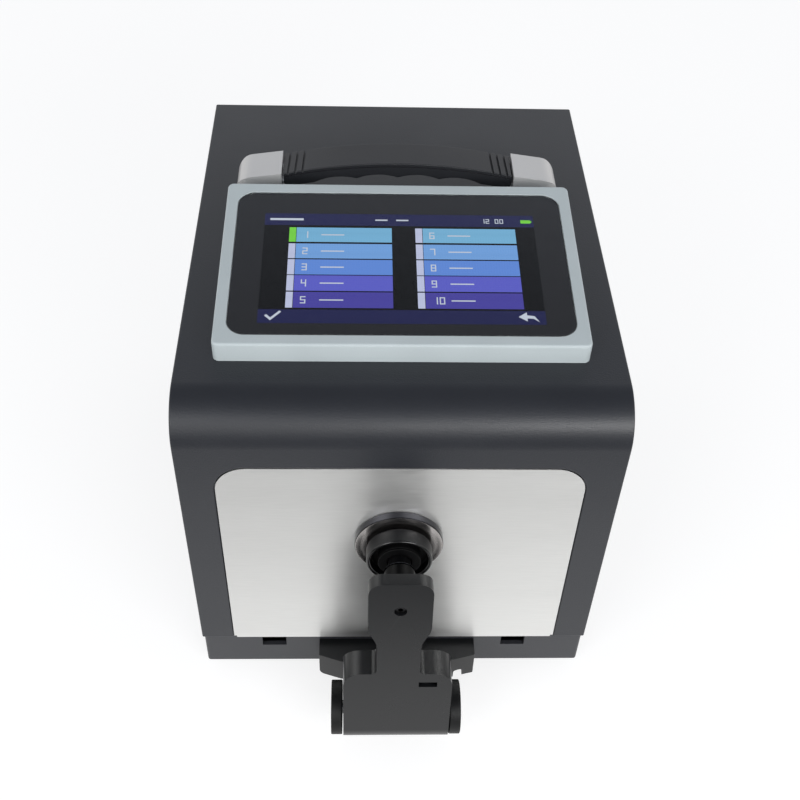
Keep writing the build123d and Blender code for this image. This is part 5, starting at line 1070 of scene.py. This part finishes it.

# %% [markdown]
# The arm needs room for the bracket's knuckle and the springs beside it, bores for the hinge bushes and the
# ball screw, and a round boss on its back. The boss carries a polished sleeve whose shoulder has a paler
# colour, a painted highlight, and both are hollow for the ball.

# %% Bores, boss and sleeve of the arm
ROOM = 0.3                                  # air round the knuckle
KNUCKLE_R, KNUCKLE_X, PIN_R = 12, 15, 4.02
SPRING_R, SPRING_X, BUSH_R = 10, 26, 6
SCREW_R, SCREW_END = 3.5, 9.2
BOSS_R, BALL_R, BALL_Y = 8.85, 7.3, BACK_Y + 3
cut(arm, rod_of("boss", BOSS_R, (0, BACK_Y - 1, Z_PORT), (0, BACK_Y + 5, Z_PORT)), how="UNION")
cut(arm,
    rod_of("knuckle_room", KNUCKLE_R + ROOM, (-KNUCKLE_X - ROOM, HINGE_Y, Z_HINGE),
           (KNUCKLE_X + ROOM, HINGE_Y, Z_HINGE), 96),
    rod_of("spring_room", SPRING_R, (-SPRING_X, HINGE_Y, Z_HINGE), (SPRING_X, HINGE_Y, Z_HINGE)),
    box_of("neck_room", (-KNUCKLE_X - ROOM, KNUCKLE_X + ROOM),
           (HINGE_Y - 8 - ROOM, HINGE_Y + 2 * FOOT_R), (Z_HINGE - 2 * FOOT_R, Z_HINGE + 2 + ROOM)),
    rod_of("bush_bore", BUSH_R, (-40, HINGE_Y, Z_HINGE), (40, HINGE_Y, Z_HINGE), 48),
    rod_of("screw_bore", SCREW_R, (0, HINGE_Y - 40, Z_PORT), (0, HINGE_Y + SCREW_END, Z_PORT), 48))
collar = port_piece("collar", [(BACK_Y - 1, 7.8), (BACK_Y - 1, BOSS_R), (-24, BOSS_R), (-23, 8.7),
                               (-22.2, 8.3), (-21.6, 7.8)], 64)
soften(collar, 0.25, 2)
fit(collar, "arm", "ball_steel", finish=finishes["gloss_black"])
# the sleeve's shoulder faces take a paler finish: a painted highlight
paint_faces(collar, lambda m, n: 1 if 0.25 < n.y < 0.97 and m[1] > -24.5 else 0, "painted_highlight_edge")

# %% Ball socket and slot of the arm
SLOT_X, SLOT_Z, SLOT_UP, SLOT_DEEP = (12, 22.6), (42.8, 47.0), 46, 2.5
bpy.ops.object.select_all(action="DESELECT")
bpy.ops.mesh.primitive_uv_sphere_add(segments=64, ring_count=32, radius=BALL_R * MM,
                                     location=spot(0, BALL_Y, Z_PORT), rotation=(radians(90), 0, 0))
socket = settle(bpy.context.object)
cut(arm, socket)
slot_y = HINGE_Y - FOOT_R + SLOT_UP * tan(LEAN)
cut(arm, box_of("slot", SLOT_X, (slot_y - SLOT_DEEP, slot_y + SLOT_DEEP),
                (Z_HINGE + SLOT_Z[0], Z_HINGE + SLOT_Z[1])))
soften(arm, 0.25, 2, 50)
fit(arm, "arm", "arm_paint", "arm_body")

# %% [markdown]
# ## Hinge
# A bracket on the base carries the hinge pin between two round caps. A small part stands lower at
# its right end, past a notch. The block is drawn from above and pushed up, which gives the slanted
# corners of its front at once, and the neck and knuckle round the pin are then joined to it.

# %% Hinge bracket
BRACKET_LOW, BRACKET_H, BRACKET_LEFT = 9.4, 20.6, -47
NOTCH_X, NOTCH_TOP, LUG_RIGHT = (37.7, 43.3), 16.3, 50.5
plan = [(BRACKET_LEFT, 2), (BRACKET_LEFT, -10), (-33, -14.7), (33, -14.7), (LUG_RIGHT, -10), (LUG_RIGHT, 2)]
bracket = slab_of("bracket_block", [(x, y, BRACKET_LOW) for x, y in plan], (0, 0, BRACKET_H))
round_edges(bracket, 3, 6,
            lambda m, d: near(m[0], BRACKET_LEFT) and near(m[2], BRACKET_LOW) and abs(d.y) > 0.9)
cut(bracket, box_of("lug", (NOTCH_X[1], LUG_RIGHT), (-10, 2), (9.0, 12)), how="UNION")
notch = box_of("notch", NOTCH_X, (-20, 5), (5, NOTCH_TOP))
round_edges(notch, 1.8, 5, lambda m, d: near(m[2], NOTCH_TOP) and near(abs(d.y), 1))
cut(bracket, notch)
soften(bracket, 0.6, 3)
cut(bracket, box_of("neck", (-KNUCKLE_X, KNUCKLE_X), (HINGE_Y, -13.7), (20, 30)),
    rod_of("knuckle", KNUCKLE_R, (-KNUCKLE_X, HINGE_Y, Z_HINGE), (KNUCKLE_X, HINGE_Y, Z_HINGE), 96),
    how="UNION")
cut(bracket, rod_of("pin_bore", PIN_R, (-20, HINGE_Y, Z_HINGE), (20, HINGE_Y, Z_HINGE), 48))
soften(bracket, 0.3, 2, 50)
fit(bracket, "instrument", "bracket_paint", "clamp_bracket")

# %% [markdown]
# The two end caps are turned discs with a shallow dish in the outer face. One outline is spun twice,
# with its axis pointing right and left, so that both dishes face outwards.

# %% End caps of the hinge
END_FROM, END_T, DISH = 32.0, 6.6, 0.5
outline = [(END_FROM, 4), (END_FROM, 16), (END_FROM + END_T, 16), (END_FROM + END_T, 9),
           (END_FROM + END_T - DISH, 8), (END_FROM + END_T - DISH, 0.2), (END_FROM + 5, 0.2),
           (END_FROM + 5, 4)]
ends = [turned_piece("end_cap", outline, HINGE, (side, 0, 0)) for side in (1, -1)]
end_caps = join(*ends)
end_caps.name = "end_caps"
soften(end_caps, 0.7, 4)
fit(end_caps, "instrument", "cap_black", "hinge_end_caps")

# %% [markdown]
# ## Base, back and feet
# The working model's base, rear panel, feet and rocker have their right shape, but its knife-sharp
# edges catch no light. A real pressed or moulded edge is a little round, so each of them is
# copied, its loose triangles are merged into whole faces, and its edges are bevelled.

# %% Rounded copies of plain pieces
LOOSE = 0.002 * MM      # corners nearer than this are one
FLAT = radians(0.5)     # triangles that turn less than this make one face


def eased(node, body, slot, width):
    """A copy of a working piece with its sharp edges rounded, to stand in its place."""
    piece = nodes[node].copy()
    piece.data = nodes[node].data.copy()
    piece.name = node + "_eased"
    piece.parent = None
    bpy.context.collection.objects.link(piece)
    only(piece)
    bpy.ops.object.mode_set(mode="EDIT")
    bpy.ops.mesh.select_all(action="SELECT")
    bpy.ops.mesh.remove_doubles(threshold=LOOSE)
    bpy.ops.mesh.dissolve_limited(angle_limit=FLAT)
    done()
    soften(piece, width, 2, 40)
    return fit(piece, body, slot, node)


eased("base_tray", "instrument", "base_paint", 0.7)
eased("rear_panel", "instrument", "rear_paint", 0.3)
eased("rubber_feet", "instrument", "foot_rubber", 0.8)
eased("power_rocker", "rocker", "switch_black", 0.3)
